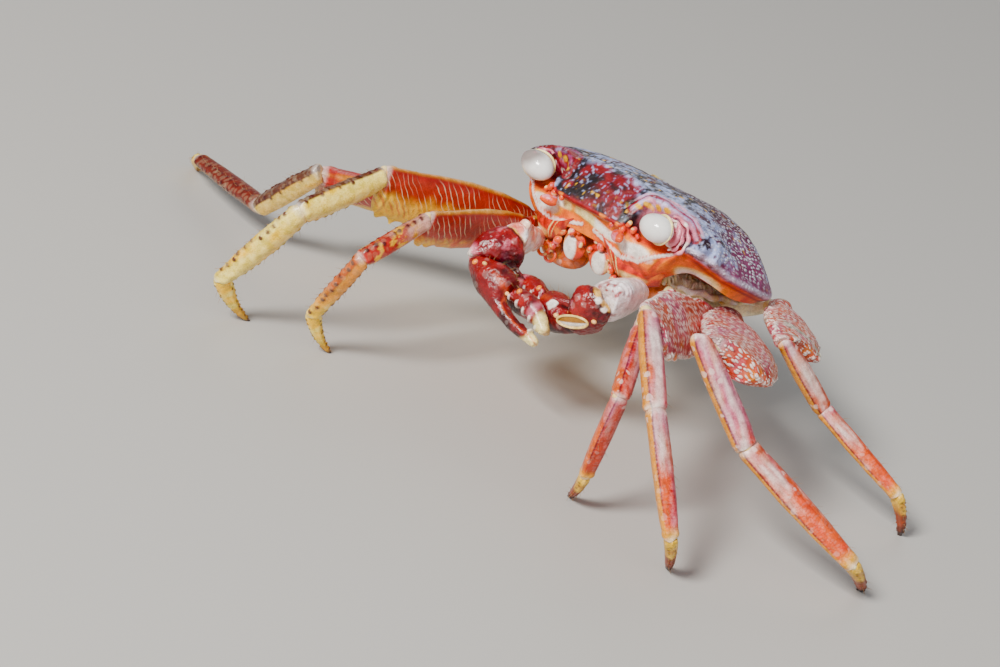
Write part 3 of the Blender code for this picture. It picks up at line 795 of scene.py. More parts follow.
    # Orbits: two pale ridges over the eye and a shadowed socket
    reach = path_distance(side, w, BROW_ARC)
    near = ramp(v, 15, 17.5)
    brow = fall(reach, 0.25, 0.75) * near
    second = bump(reach, 1.55, 0.5) * near * ramp(w, 4.0, 5.6)
    pale_side = ramp(u, -2, 2)
    ground("frost", 0.85 * fall(reach, 1.4, 3.4) * ramp(w, 4.6, 6.2) * near * pale_side
           * coarse(1.1, 53, -0.5, 0.1))
    ground("red", 0.85 * bump(reach, 0.95, 0.45) * near)
    ridge_tone = Coat(blend("front_red", "shell_flank", ramp(fleck, -0.2, 0.4)), "brow", pale_side)
    ridge_tone("frost", 0.6 * fine(1.3, 54, 0.0, 0.5) * pale_side)
    ground(ridge_tone, 0.9 * brow)
    ground(ridge_tone, 0.75 * second)
    for spot in ((11.6, 4.9), (13.4, 5.8), (15.4, 6.1), (10.4, 3.6)):
        ground("yellow", 0.95 * oval(side, w, spot, (0.75, 0.5), 0.6) * ramp(v, 19.5, 20.5))
    socket = oval(side, w, (15.6, 2.2), (6.2, 3.2), 0.5) * fall(v, 22.0, 25.0) * near
    folds = Coat("stalk", "red", ramp(rough(body, 1.4, 50) + 0.6 * ramp(-u, -1, 1), -0.1, 0.5))
    folds("socket", 0.8 * fall(v, 15.5, 17.5))
    ground(blend(folds, "white", fine(0.9, 51, 0.45, 0.7)), 0.9 * socket)
    lip = fall(path_distance(side, w, ((9.8, -1.8), (12.5, -2.6), (18.0, -2.4), (21.5, -0.4))), 0.5, 0.9)
    ground("orange_red", 0.85 * lip * ramp(v, 18, 20))
    scales = np.maximum(0.9 * scales * (1 - below) * (1 - 0.8 * brow) * top, 0.7 * crest)

    relief = 0.12 * fleck * top + 0.25 * cloud * top + 0.9 * socket
    relief += 0.28 * brow + 0.20 * second + 0.22 * fall(rim, 0.1, 0.5) * ramp(v, 16, 18.5)
    relief -= 0.2 * suture * ramp(v, 14, 16) * below + 0.2 * bump(reach, 1.45, 0.4) * near
    relief += 0.12 * (ridges - 0.5) * lower + 0.25 * margin_line + 0.2 * crest
    relief += 0.18 * band * ramp(v, 21, 22.5) + 0.35 * lobes * ramp(w, 3.5, 5.0)
    groove = bump(side, 7.5 + 0.28 * np.abs(v), 1.4) * fall(v, 6, 12) + bump(v, 1.0 - 0.02 * side ** 2, 1.2)
    relief -= 0.22 * groove * top
    raise_relief(mesh, relief)
    marks = (scales, 0.25 * top * (1 - front), 0)
    show("carapace_shell", mesh, ground, "carapace_shell", "crab shell", "carapace", marks, body)


# ---------------------------------------------------------------- legs

def turn_from(turn, degrees):
    """Angle in degrees between each place and one direction round a plate."""
    return np.abs(np.mod(np.degrees(turn) - degrees + 180, 360) - 180)


def studs(plate, shares, rows, step, seed):
    """Surface points in rows along a plate: rows are (across share, sign of the flat side)."""
    draw = np.random.default_rng(seed)
    along, across, flat = shares
    found = []
    for target, sign in rows:
        for place in np.arange(0.10, 0.95, step / plate.length):
            place += draw.uniform(-0.3, 0.3) * step / plate.length
            miss = (((along - place) * plate.length) ** 2
                    + (2.0 * (across - target - draw.uniform(-0.08, 0.08))) ** 2
                    + np.where(flat * sign < 0, 9.0, 0.0))
            found.append(int(miss.argmin()))
    return found


def near_studs(places, found, radius):
    """1 at the studs, 0 beyond this radius."""
    reach = np.full(len(places), 1e9)
    for index in found:
        reach = np.minimum(reach, np.linalg.norm(places - places[index], axis=1))
    return fall(reach, radius * 0.55, radius)


def teeth(local, plate, across, share, count, height):
    """Small pointed teeth near the far end of one edge."""
    raised = np.zeros(len(local))
    for step in range(count):
        middle = plate.high[0] - 1.0 - 1.35 * step
        raised += (height * (1 - 0.12 * step) * bump(local[:, 0], middle, 0.55)
                   * ramp(across * share, 0.80, 1.0))
    return raised


def show_leg_plate(plate, side, mesh, ground, marks, local):
    """Show a painted plate of a walking leg in the material of its side."""
    slot, material = WORD[side] + "_leg_shell", WORD[side] + " leg shell"
    show(plate.node + "_shell", mesh, ground, slot, material, plate.node, marks, local)


def paint_merus(plate, side, number):
    """The blade of a walking leg."""
    mesh, places, local, shares = plate.skin(3, pull=3, most=0.6, cuts=5.0)
    along, across, flat = shares
    fine, coarse = patches(local)
    cloud = rough(local, 6.0, number)
    rows = ramp(along, 0.04, 0.12)
    edge = ramp(np.abs(across), 0.88, 1.0)
    if side == "L":
        ground = Coat("leg_pink", "leg_mauve", ramp(cloud, -0.4, 0.5))
        ground("leg_red", np.clip((0.6 if number == 2 else 0.16) * ramp(across, -0.2, 0.9)
                                  + 0.16 * fine(7.0, 3, 0, 0.6), 0, 0.8))
        ground("yellow", 0.35 * ramp(across, 0.3, 0.9) * fine(2.0, 4, 0, 0.4))
        if number == 5:
            ground("leg_green", 0.8 * coarse(5.0, 15, 0.2, 0.45))
        ground("purple_line", 0.7 * fine(1.1, 6, 0.72, 0.8))
        # Salmon-brown laid on near the body and on the flat side turned away from the light: painted shade.
        inner = np.clip(ramp(1 - along + 0.1 * cloud, 0.35, 0.6) * 0.9 + 0.4 * ramp(-flat, -0.2, 0.6), 0, 1)
        inner = inner * (0.55 + 0.45 * ramp(across, -0.4, 0.4))
        ground(blend("salmon", "dactyl", 0.4), 0.6 * inner)
        beads = near_studs(places, studs(plate, shares, ((-0.97, 1), (0.97, 1)), 1.3, number), 0.6)
        ground("white", 0.9 * beads)
        dark = 0
    else:
        upper = ramp(-across + 0.15 * noise(local, 2.5, 9) + 0.35 * (number == 2), -0.2, 0.35)
        ground = Coat("leg_yellow", "leg_orange", ramp(cloud + 0.5 * (number == 2), 0.3, 1.4))
        ground(blend("leg_red", "red", 0.3), np.clip(upper + 0.25 * (number == 2), 0, 1) * 0.97)
        ground("red", 0.8 * ramp(-across + 0.1 * cloud, 0.6, 0.9))
        if number >= 4:
            ground("leg_cream", 0.8 * fall(along, 0.55, 0.8))
            ground("leg_red", 0.8 * ramp(along, 0.6, 0.9) * upper)
        spatter = coarse(1.6, 22, 0.15, 0.35) * ramp(across, 0.0, 0.7)
        ground("yellow", 0.9 * spatter)
        ground("leg_cream", 0.4 * edge)
        rows = rows * np.clip(0.25 + 0.75 * upper, 0, 1)
        dark = 0.1
        bars = 0.6 * ramp(along, 0.08, 0.16) * (number <= 4) * fine(3.0, 61, -0.6, 0.2)
        lower = bars * ramp(across + 0.2 * cloud, -0.2, 0.3) * fall(across + 0.2 * cloud, 0.4, 0.8)
        bars = bars * ramp(across, -0.95, -0.6) * fall(across + 0.2 * cloud, -0.1, 0.5)
        put(mesh, "bars", np.column_stack([bars, lower, 0 * bars]))
        rows = 0.25 * rows * ramp(across, 0.0, 0.6)
    ground("white", 0.5 * ramp(along, 0.965, 0.99))
    fang = teeth(local, plate, across, 1.0, 4, 1.5 if number == 5 else 0.9) * (1.0 if side == "L" else 0.15)
    ground("white", np.clip(fang * 1.6, 0, 1))
    relief = 0.08 * cloud + 0.18 * bump(along, 0.965, 0.03) + 0.12 * ramp(np.abs(across), 0.85, 0.97) + fang
    if side == "L":
        relief += 0.3 * beads
    saw = np.abs(np.mod(local[:, 0] / 1.1 + 0.3 * noise(local, 2.0, 9), 1.0) - 0.5)
    relief += ((0.12 if side == "L" else 0.03) * ramp(np.abs(across), 0.9, 1.0) * saw
               * ramp(along, 0.15, 0.25))
    raise_relief(mesh, relief)
    show_leg_plate(plate, side, mesh, ground, (rows, 0, dark), local)


def paint_shaft(plate, side, number, part, roots):
    """Carpus or propodus: a slim keeled shaft."""
    mesh, places, local, shares = plate.skin(3, cuts=4.0)
    along, across, flat = shares
    _, coarse = patches(local)
    turn = np.arctan2(flat, across)
    cloud = rough(local * (0.4, 1, 1), 3.0, number + 7 * part)
    streak = rough(local * (0.22, 1, 1), 1.7, 4 + part)
    distal = along if part == 2 else 0.35 * along
    ends = np.maximum(1 - ramp(along, 0.0, 0.07), ramp(along, 0.95, 1.0))
    if side == "L":
        ground = Coat("leg_mauve", "leg_pink", ramp(cloud, -0.4, 0.4))
        ground("leg_orange", 0.65 * ramp(distal, 0.15, 0.5) * ramp(cloud, -1.2, 0.0))
        ground("leg_red", np.clip((0.65 if number == 2 else 0.08) * ramp(cloud, -0.5, 0.3)
                                  * fall(distal, 0.9, 1.0), 0, 1))
        ground("white", (0.38 - 0.25 * ramp(distal, 0.3, 0.8)) * ramp(streak, 0.05, 0.5)
               * (1 - 0.6 * (number == 2)))
        ground(blend("leg_cream", "ochre", 0.5), 0.85 * ramp(distal, 0.86, 0.98))
        # Painted highlight: a pale band down the face turned to the light, broken by streaks and weaker
        # towards the far end.
        painted_highlight = fall(turn_from(turn, 128), 14, 50) * (0.6 - 0.5 * ramp(distal, 0.2, 0.7))
        painted_highlight = painted_highlight * ramp(streak, -0.7, 0.25) * (1 - 0.65 * (number == 2))
        ground(blend("white", "leg_mauve", 0.12), np.clip(painted_highlight, 0, 1))
        hidden = turn_from(turn, -142)
        ground("ochre", (0.9 if number > 2 else 0.25) * fall(hidden, 40, 46))
        line = bump(turn_from(turn, 171), 0, 9) + 0.4 * bump(turn_from(turn, 95), 0, 7)
        ground("purple_line", np.clip(0.9 * line * fall(distal, 0.65, 0.9), 0, 1))
        dark, pale = 0.12 * ramp(distal, 0.2, 0.6), 0.55 - 0.35 * ramp(distal, 0.2, 0.6)
        rows = ((0.9, 1), (-0.9, 1), (0.9, -1))
        found = studs(plate, shares, rows, 2.6, number * 10 + part)
        relief = 0
    else:
        red = {2: 0.85, 3: 0.0, 4: 0.9 if part == 2 else 0.25, 5: 0.3}[number]
        ground = Coat("leg_cream", "leg_yellow", ramp(cloud, -0.2, 0.6))
        hidden = turn_from(turn, -150)
        upper = fall(hidden + 25 * cloud, 50, 100) * (1 - ramp(distal, 0.45, 0.9) * (number != 4))
        ground("leg_orange", 0.6 * min(1.0, red + 0.1) * ramp(0.3 * cloud + 1 - upper, 0, 1)
               * fall(distal, 0.5, 0.95))
        ground("leg_red", red * upper)
        if part == 1 and number == 2:
            ground = Coat(blend("leg_mauve", "cream", 0.3), "leg_red", ramp(along + 0.5 * cloud, 0.1, 0.6))
            ground("yellow", 0.85 * coarse(1.5, 8, 0.12, 0.3) * ramp(along, 0.1, 0.4))
        if number == 4 and part == 2:
            ground("maroon", 0.75)
        ground("maroon", 0.95 * fall(hidden + 6 * cloud, 44, 54) * (0.3 + 0.7 * (part == 1))
               * (1 - 0.7 * (number == 2)))
        ground("maroon", 0.6 * bump(turn_from(turn, 178), 0, 5) * (part == 1))
        dark, pale = 0.15, 0.1
        rows = ((0.95, 1), (-0.7, -1), (-0.97, 1), (0.9, -1)) + (((0.2, 1),) if number != 3 else ())
        found = studs(plate, shares, rows[:4] if part == 1 else rows, 2.1, number * 10 + part)
        mask = near_studs(places, found, 0.62)
        ground("maroon", 0.95 * mask)
        relief = 0.22 * mask
    roots.extend(root_of(mesh, index, plate) for index in found)
    ground("white", 0.45 * ends)
    relief = relief + 0.08 * cloud + 0.12 * np.cos(turn * 4) * (1 - ends) + 0.18 * bump(along, 0.95, 0.05)
    relief += 0.2 * bump(along, 0.05, 0.06)
    raise_relief(mesh, relief)
    show_leg_plate(plate, side, mesh, ground, (0.08, pale, dark), local)


def paint_dactyl(plate, side, number, roots):
    """The pointed last joint of a walking leg."""
    mesh, places, local, shares = plate.skin(3, cuts=2.0)
    along, across, flat = shares
    fine, _ = patches(local)
    if side == "L":
        ground = Coat(blend("leg_cream", "ochre", 0.5), "dactyl",
                      ramp(along + 0.2 * noise(local, 2.0, 2), 0.15, 0.5))
        ground("tip", ramp(along + 0.1 * noise(local, 1.0, 2), 0.6, 0.95))
    else:
        ground = Coat("leg_cream", "leg_yellow", fine(2.0, 2, -0.2, 0.5))
        ground("dactyl", 0.5 * ramp(along, 0.45, 0.9))
        ground("tip", ramp(along, 0.86, 0.96))
    turn = np.arctan2(flat, across)
    rows = ((0.85, 1), (-0.85, 1), (0.85, -1), (-0.85, -1))
    found = studs(plate, shares, rows, 1.25, number * 10 + 5)
    mask = near_studs(places, found, 0.36)
    ground("maroon" if side == "R" else "tip", (0.9 if side == "R" else 0.6) * mask)
    roots.extend(root_of(mesh, index, plate) for index in found[::2])
    raise_relief(mesh, 0.08 * np.cos(turn * 6) * fall(along, 0.7, 1.0) + 0.2 * mask)
    show_leg_plate(plate, side, mesh, ground, (0, 0, 0.15), local)


# ---------------------------------------------------------------- bristles and skin

def root_of(mesh, index, plate):
    """Place, outward direction, direction towards the plate's tip, and a spot on its unwrap."""
    place = np.array(mesh.vertices[index].co) / MM
    normal = np.array(mesh.vertex_normals[index].vector)
    local = plate.measures(place[None])[0]
    turn = math.atan2(local[2], local[1]) / math.tau + 0.5
    spot = (0.02 + 0.95 * (local[0] - plate.low[0]) / plate.length, 0.02 + 0.95 * turn)
    return place, normal, plate.axis, spot


def bristle_mesh(roots, length, thick=0.055, seed=3, lean=0.6):
    """One joined mesh of fine tapered bristles, and a share of light or dark for each corner."""
    draw = np.random.default_rng(seed)
    places, faces, spots = [], [], []
    for place, normal, tip_way, spot in roots:
        way = unit(normal + lean * np.asarray(tip_way) + draw.normal(0, 0.18, 3))
        span = length * draw.uniform(0.55, 1.1)
        sag = np.asarray(tip_way) * span * 0.25
        first = square_to(np.array((0.3, 0.5, 0.81)), way)
        second = np.cross(way, first)
        start, last = len(places), len(places) + (BRISTLE_ROWS - 1) * BRISTLE_SIDES
        for share in (row / (BRISTLE_ROWS - 1) for row in range(BRISTLE_ROWS)):
            middle = place - way * 0.1 + way * span * share + sag * share ** 2
            radius = thick * (1 - 0.85 * share)
            places += ring(middle, radius * first, radius * second, BRISTLE_SIDES)
            spots += [(spot[0] + 0.003 * share, spot[1] + 0.003 * step / BRISTLE_SIDES)
                      for step in range(BRISTLE_SIDES)]
        faces += [*band(start, BRISTLE_ROWS, BRISTLE_SIDES), range(last, last + BRISTLE_SIDES)]
    places = np.array(places)
    places[:, 2] = np.maximum(places[:, 2], FLOOR_GAP)
    mesh = bpy.data.meshes.new("bristles")
    mesh.from_pydata((places * MM).tolist(), [], faces)
    layer = mesh.uv_layers.new(name="OFBake")
    corners = np.empty(len(mesh.loops), np.int32)
    mesh.loops.foreach_get("vertex_index", corners)
    layer.data.foreach_set("uv", np.array(spots, np.float32)[corners].ravel())
    return mesh, 0.85 + 0.3 * np.array([draw.random() for _ in roots]).repeat(BRISTLE_ROWS * BRISTLE_SIDES)


def show_bristles(name, slot, roots, growth=1.0, **shape):
    """Bristles of the set length times a growth, shown in the bristle material."""
    mesh, shade = bristle_mesh(roots, bpy.context.scene.crab_sizes.bristle / MM * growth, **shape)
    show(name, mesh, tone("bristle") * shade[:, None], slot, "bristle")


def mottled(name, mesh, first, *coats, **looks):
    """Show a mesh in patches: each coat is a colour, its share, and the noise and ramp of its mask."""
    fine, _ = patches(spots_of(mesh))
    tint = Coat(*first[:2], first[2] * fine(*first[3:]))
    for colour, share, *patch in coats:
        tint(colour, share * fine(*patch))
    show(name, mesh, tint, **looks)


def joint_skins(name, slot, plates, joints, fill=1.0):
    """Soft skin that fills the joints of one limb."""
    meshes = []
    for joint, before, after in zip(joints, plates[:1] + plates, plates):
        way = unit(before.axis + after.axis)
        wide = square_to(after.broad, way)
        flat = np.cross(way, wide)
        reach = []
        for plate in (before, after):
            points = node_points(plate.node) - joint
            close = points[np.linalg.norm(points, axis=1) < 5.0]
            if len(close):
                reach.append([np.percentile(np.abs(close @ direction), 70) for direction in (wide, flat)])
        broad, thin = np.min(reach, axis=0) * fill
        meshes.append(ball_mesh(joint, (way * min(broad, thin) * 0.9, wide * broad * 0.82,
                                        flat * thin * 0.82), 20, 28))
    mottled(name + "_joint_skin", join(meshes), ("skin", "cream", 1, 1.2, 5, -0.2, 0.6), slot=slot,
            material="joint skin")


# ---------------------------------------------------------------- eyes and face

def build_eye(side):
    """The pearly eye, its rim and its stalk."""
    _, axes = body_axes()
    centre, stalk = middle_of("eye_" + side), middle_of("eyestalk_" + side)
    half = np.ptp(to_body(node_points("eye_" + side)), axis=0) / 2
    out = unit(centre - stalk)
    across = square_to(SIGN[side] * axes[0], out)
    rise = np.cross(out, across)
    tilt = math.radians(0 if side == "L" else 10)
    wide = math.cos(tilt) * axes[0] - math.sin(tilt) * axes[2]
    tall = math.sin(tilt) * axes[0] + math.cos(tilt) * axes[2]
    mesh = ball_mesh(centre, (axes[1] * half[1], wide * half[0] * (1.02 if side == "L" else 1.1),
                              tall * half[2] * 0.9))
    places = spots_of(mesh)
    local = (places - centre) @ np.array((out, across, rise)).T
    away = (places - centre) @ axes.T / half
    if side == "R":
        veil = ramp(away @ unit((-0.62, 0.50, 0.60)) + 0.06 * noise(local, 1.6, 3), 0.05, 0.75)
        # A small pale spot cleared in the brown veil is a painted highlight.
        veil = veil * (1 - 0.6 * ramp(away @ unit((-0.62, 0.10, 0.78)), 0.88, 0.99))
    else:
        veil = 0.55 * ramp(away @ unit((-0.25, 0.25, 0.93)), 0.72, 0.97)
    tint = Coat("pearl", "pearl_brown", 0.75 * veil)
    tint("stalk", 0.25 * ramp(noise(local, 1.2, 4), 0.1, 0.6) * ramp(veil, 0.3, 0.6))
    tint("cream", 0.6 * ramp(away @ unit((0.5, -0.3, -0.75)), 0.8, 0.98))
    show("cornea_" + side, mesh, tint, "cornea", "eye pearl", "eye_" + side, measures=local)

    rim = [centre - out * half[1] * 0.42 + 0.93 * (across * half[0] * math.cos(turn)
                                                   + rise * half[2] * math.sin(turn))
           for turn in (math.tau * step / 48 for step in range(49))]
    show("eye_rim_" + side, tube_mesh([(rim, bpy.context.scene.crab_sizes.eye_rim / MM)], 10), "cream")

    mesh = rounded("eyestalk_" + side, 3)
    local = to_body(spots_of(mesh)) - to_body(stalk[None])
    along = (spots_of(mesh) - stalk) @ out * 3.2
    raise_relief(mesh, 0.18 * np.sin(along + noise(local, 1.5, 3)) + 0.1 * noise(local, 0.9, 5))
    tint = Coat("stalk", "white", ramp(noise(local, 1.2, 8), 0.0, 0.6))
    tint("red", 0.35 * ramp(-np.sin(along), 0.3, 0.9))
    show("stalk_" + side, mesh, tint, node="eyestalk_" + side, measures=local)


def build_mouth(side):
    """The root of the feeler and the outer jaw."""
    mesh = rounded("antenna_" + side, 3)
    body = to_body(spots_of(mesh))
    tint = Coat("salmon", "stalk", ramp(noise(body, 1.0, 3), -0.2, 0.5))
    show("feeler_base_" + side, mesh, tint, node="antenna_" + side, measures=body)
    mesh = rounded("maxilliped_" + side, 3)
    body = to_body(spots_of(mesh))
    local = body - to_body(middle_of("maxilliped_" + side)[None])
    across, up = SIGN[side] * local[:, 0], local[:, 2]
    tint = Coat("salmon", "orange_red", ramp(noise(body, 1.5, 3), -0.3, 0.5))
    tint("white", oval(across, up, (0.4, -0.9), (1.8, 2.5), 0.35))
    tint("cream", 0.8 * bump(across, 2.4, 0.5))
    groove = bump(up, 1.4 + 0.25 * across, 0.35)
    tint("dark_line", 0.6 * groove)
    raise_relief(mesh, 0.3 * oval(across, up, (0.4, -0.9), (1.9, 2.6), 0.5) - 0.3 * groove)
    show("jaw_" + side, mesh, tint, node="maxilliped_" + side, measures=body)


def build_face(side):
    """Everything round the eye and mouth of one side, and the gills behind."""
    flip = np.array((SIGN[side], 1, 1))
    for build in (build_cheek, build_folds, build_knobs, build_gills):
        build(side, flip)


def build_cheek(side, flip):
    """Ridged plate under the eye, beside the mouth."""
    share, down = np.linspace(0, 1, 56), np.linspace(0, 1, 24)[:, None, None]
    top = bezier(((4.2, 23.0, -5.3), (9.5, 22.2, -9.6), (15.0, 20.4, -8.0), (19.0, 16.6, -6.6)), share)
    low = bezier(((6.4, 20.4, -8.6), (9.0, 18.4, -12.8), (13.5, 17.0, -13.2), (17.5, 13.5, -9.6)), share)
    swell = 0.7 * np.sin(np.pi * down) * np.sin(np.pi * share)[None, :, None]
    ridge = np.sin(share * 34 + down[:, :, 0] * 3.0)[..., None]
    grid = top[None] * (1 - down) + low[None] * down + np.array((0.25, 1.0, -0.2)) * (swell + 0.09 * ridge)
    mesh = slab_mesh(from_body((grid * flip).reshape(-1, 3)).reshape(grid.shape),
                     from_body((0, 0, 0)) - from_body((0.0, 0.6, 0.0)))
    body = to_body(spots_of(mesh)) * flip
    ridges, across, depth = (np.tile(np.broadcast_to(values, grid.shape[:2]).ravel(), 2)
                             for values in (ridge[..., 0], share, down[:, :, 0]))
    tint = Coat("orange_red", "orange", ramp(noise(body, 2.5, 5), -0.2, 0.5))
    tint("red", 0.7 * ramp(-ridges, 0.1, 0.9))
    line = bump(across, 0.30 + 0.1 * depth, 0.025) + bump(across, 0.20 + 0.14 * depth, 0.015)
    tint("cream", np.clip(line, 0, 1))
    tint("cream", 0.8 * oval(across, depth, (0.62, 0.72), (0.22, 0.22), 0.8))
    tint("red", 0.8 * ramp(depth, 0.9, 0.97))
    show("cheek_plate_" + side, mesh, tint)


def build_folds(side, flip):
    """Folds of skin round the outer side of the eye."""
    paths = []
    for fold, (size, back, thick) in enumerate(((1.0, 0.0, 0.50), (0.78, 0.9, 0.48), (0.58, 1.7, 0.42))):
        turns = np.linspace(math.radians(-75), math.radians(105), 40)
        wave = 0.16 * np.sin(turns * 9 + fold * 2)
        points = np.column_stack([18.6 + (4.3 * size + wave) * np.cos(turns),
                                  20.8 + back + 0.9 * np.sin(turns),
                                  1.4 + (4.0 * size + wave) * np.sin(turns)])
        paths.append((from_body(points * flip), thick * (0.75 + 0.25 * np.sin(turns * 7 + fold))))
    mottled("eye_folds_" + side, tube_mesh(paths, 12), ("stalk", "white", 1, 1.0, 8, 0.0, 0.5),
            ("red", 0.35, 1.4, 9, 0.3, 0.6))


# Feelers' roots and palps beside the jaws: place in body measures and radius
KNOBS = ((8.4, 26.0, -1.4, 1.05), (9.9, 25.6, -2.3, 0.95), (10.6, 25.4, -0.6, 0.9), (12.0, 24.8, -1.4, 1.0),
         (7.2, 26.2, -2.5, 0.8), (13.2, 24.2, -2.2, 0.7), (2.6, 20.4, -7.0, 1.1), (4.2, 20.6, -7.9, 1.25),
         (6.9, 19.8, -9.0, 1.15), (7.8, 18.6, -11.2, 1.25), (8.8, 17.6, -12.9, 1.1), (1.3, 19.6, -9.6, 0.9))


def build_knobs(side, flip):
    """Roots of the feelers, palps beside the jaws and the rings at the claws' roots."""
    _, axes = body_axes()
    meshes, paths = [], []
    for *place, radius in KNOBS:
        centre = from_body(np.array(place) * flip)
        tall = unit(axes[2] + noise(centre[None], 1.0, 9)[0] * axes[0])
        meshes.append(ball_mesh(centre, (axes[1] * radius * 0.7, np.cross(tall, axes[1]) * radius * 0.75,
                                         tall * radius * 0.95), 16, 24))
    turns = np.linspace(0, math.tau, 33)
    for centre, radius in (((11.4, 16.3, -14.4), 1.5), ((9.3, 15.9, -15.2), 1.3), ((12.8, 16.2, -12.4), 1.3)):
        points = np.column_stack([radius * np.cos(turns), 0 * turns, radius * np.sin(turns)]) + centre
        paths.append((from_body(points * flip), 0.38))
    mottled("face_knobs_" + side, join(meshes + [tube_mesh(paths, 10)]),
            ("salmon", "stalk", 0.6, 1.4, 3, -0.1, 0.5), ("orange_red", 0.6, 1.1, 4, 0.1, 0.5),
            ("cream", 0.8, 0.9, 5, 0.35, 0.7))


def build_gills(side, flip):
    """Frilled gills along the flank and the pale ridge below them."""
    draw = np.random.default_rng(11)
    paths, share = [], np.linspace(0, 1, 9)
    for point in bezier(((14.6, 13.6, -9.2), (19.6, 5.0, -7.4), (20.6, -9.0, -6.2), (19.8, -22.0, -4.0)),
                        np.linspace(0, 1, 120)):
        reach = draw.uniform(1.6, 3.2)
        wiggle = 0.7 * np.sin(share * draw.uniform(4, 9) + draw.uniform(0, 6))
        out = draw.uniform(1.2, 2.8)
        points = np.column_stack([point[0] - 1.6 + share * out, point[1] + wiggle + draw.uniform(-0.5, 0.5),
                                  point[2] + reach * (1 - share) + 0.5 * np.cos(share * 8 + out) + 0.2])
        paths.append((from_body(points * flip), 0.30 + 0.12 * np.sin(share * 7 + reach)))
    # The gills are tinted near white to make up for the shadow they sit in: painted light.
    mottled("gills_" + side, tube_mesh(paths, 6), ("gill", "cream", 1, 0.9, 6, -0.3, 0.4),
            ("dactyl", 0.4, 1.8, 7, 0.3, 0.7), material="gill")
    share = np.linspace(0, 1, 60)
    ridge = bezier(((18.2, 7.3, -8.1), (20.4, 2.0, -6.9), (21.5, -11.0, -6.0), (21.8, -21.5, -3.2)), share)
    ridge[:, 2] += 0.25 * np.sin(share * 23)
    thick = (0.4 + 0.4 * np.sin(np.pi * share) ** 0.6) * (1 + 0.12 * np.sin(share * 40))
    mottled("flank_ridge_" + side, tube_mesh([(from_body(ridge * flip), thick)], 14),
            ("white", "cream", 1, 1.5, 5, -0.2, 0.5), ("orange", 0.2, 2.5, 6, 0.2, 0.6))


# ---------------------------------------------------------------- underside

def build_underside(node, name):
    """The plates of the breast or the tail folded under it."""
    mesh = rounded(node, 3, pull=1, most=0.3)
    body = to_body(spots_of(mesh))
    u, v, w = body.T
    side = np.abs(u)
    cloud = rough(body, 5.0, 6)
    tint = Coat("belly", "cream", ramp(cloud, -0.3, 0.4))
    tint("salmon", 0.85 * ramp(v, 4, 12) * ramp(cloud, -1.0, -0.2))
    tint("red", 0.6 * ramp(rough(body, 2.0, 12), 0.1, 0.4) * ramp(v, 4, 12))
    # Near-white gill tint on the flanks beside the gills: painted light against their shadow.
    tint("gill", 0.8 * ramp(side, 14, 17) * fall(v, 6, 12))
    tint("red", 0.15 * ramp(side, 15, 21) * ramp(noise(body, 3, 8), 0, 0.5))
    if node == "thorax":
        line = bump(np.mod(v + 0.25 * side + 40, 6.0), 3.0, 0.35) * ramp(-w, 8, 10)
    else:
        line = bump(np.mod(v + 1.2 * np.clip(-w - 3, 0, 10) + 40, 5.6), 2.8, 0.4)
    tint("dark_line", 0.6 * line)
    raise_relief(mesh, -0.3 * line + 0.08 * cloud)
    show(name, mesh, tint, node=node, marks=(0.1, 0.3, 0), measures=body)


# ---------------------------------------------------------------- claws

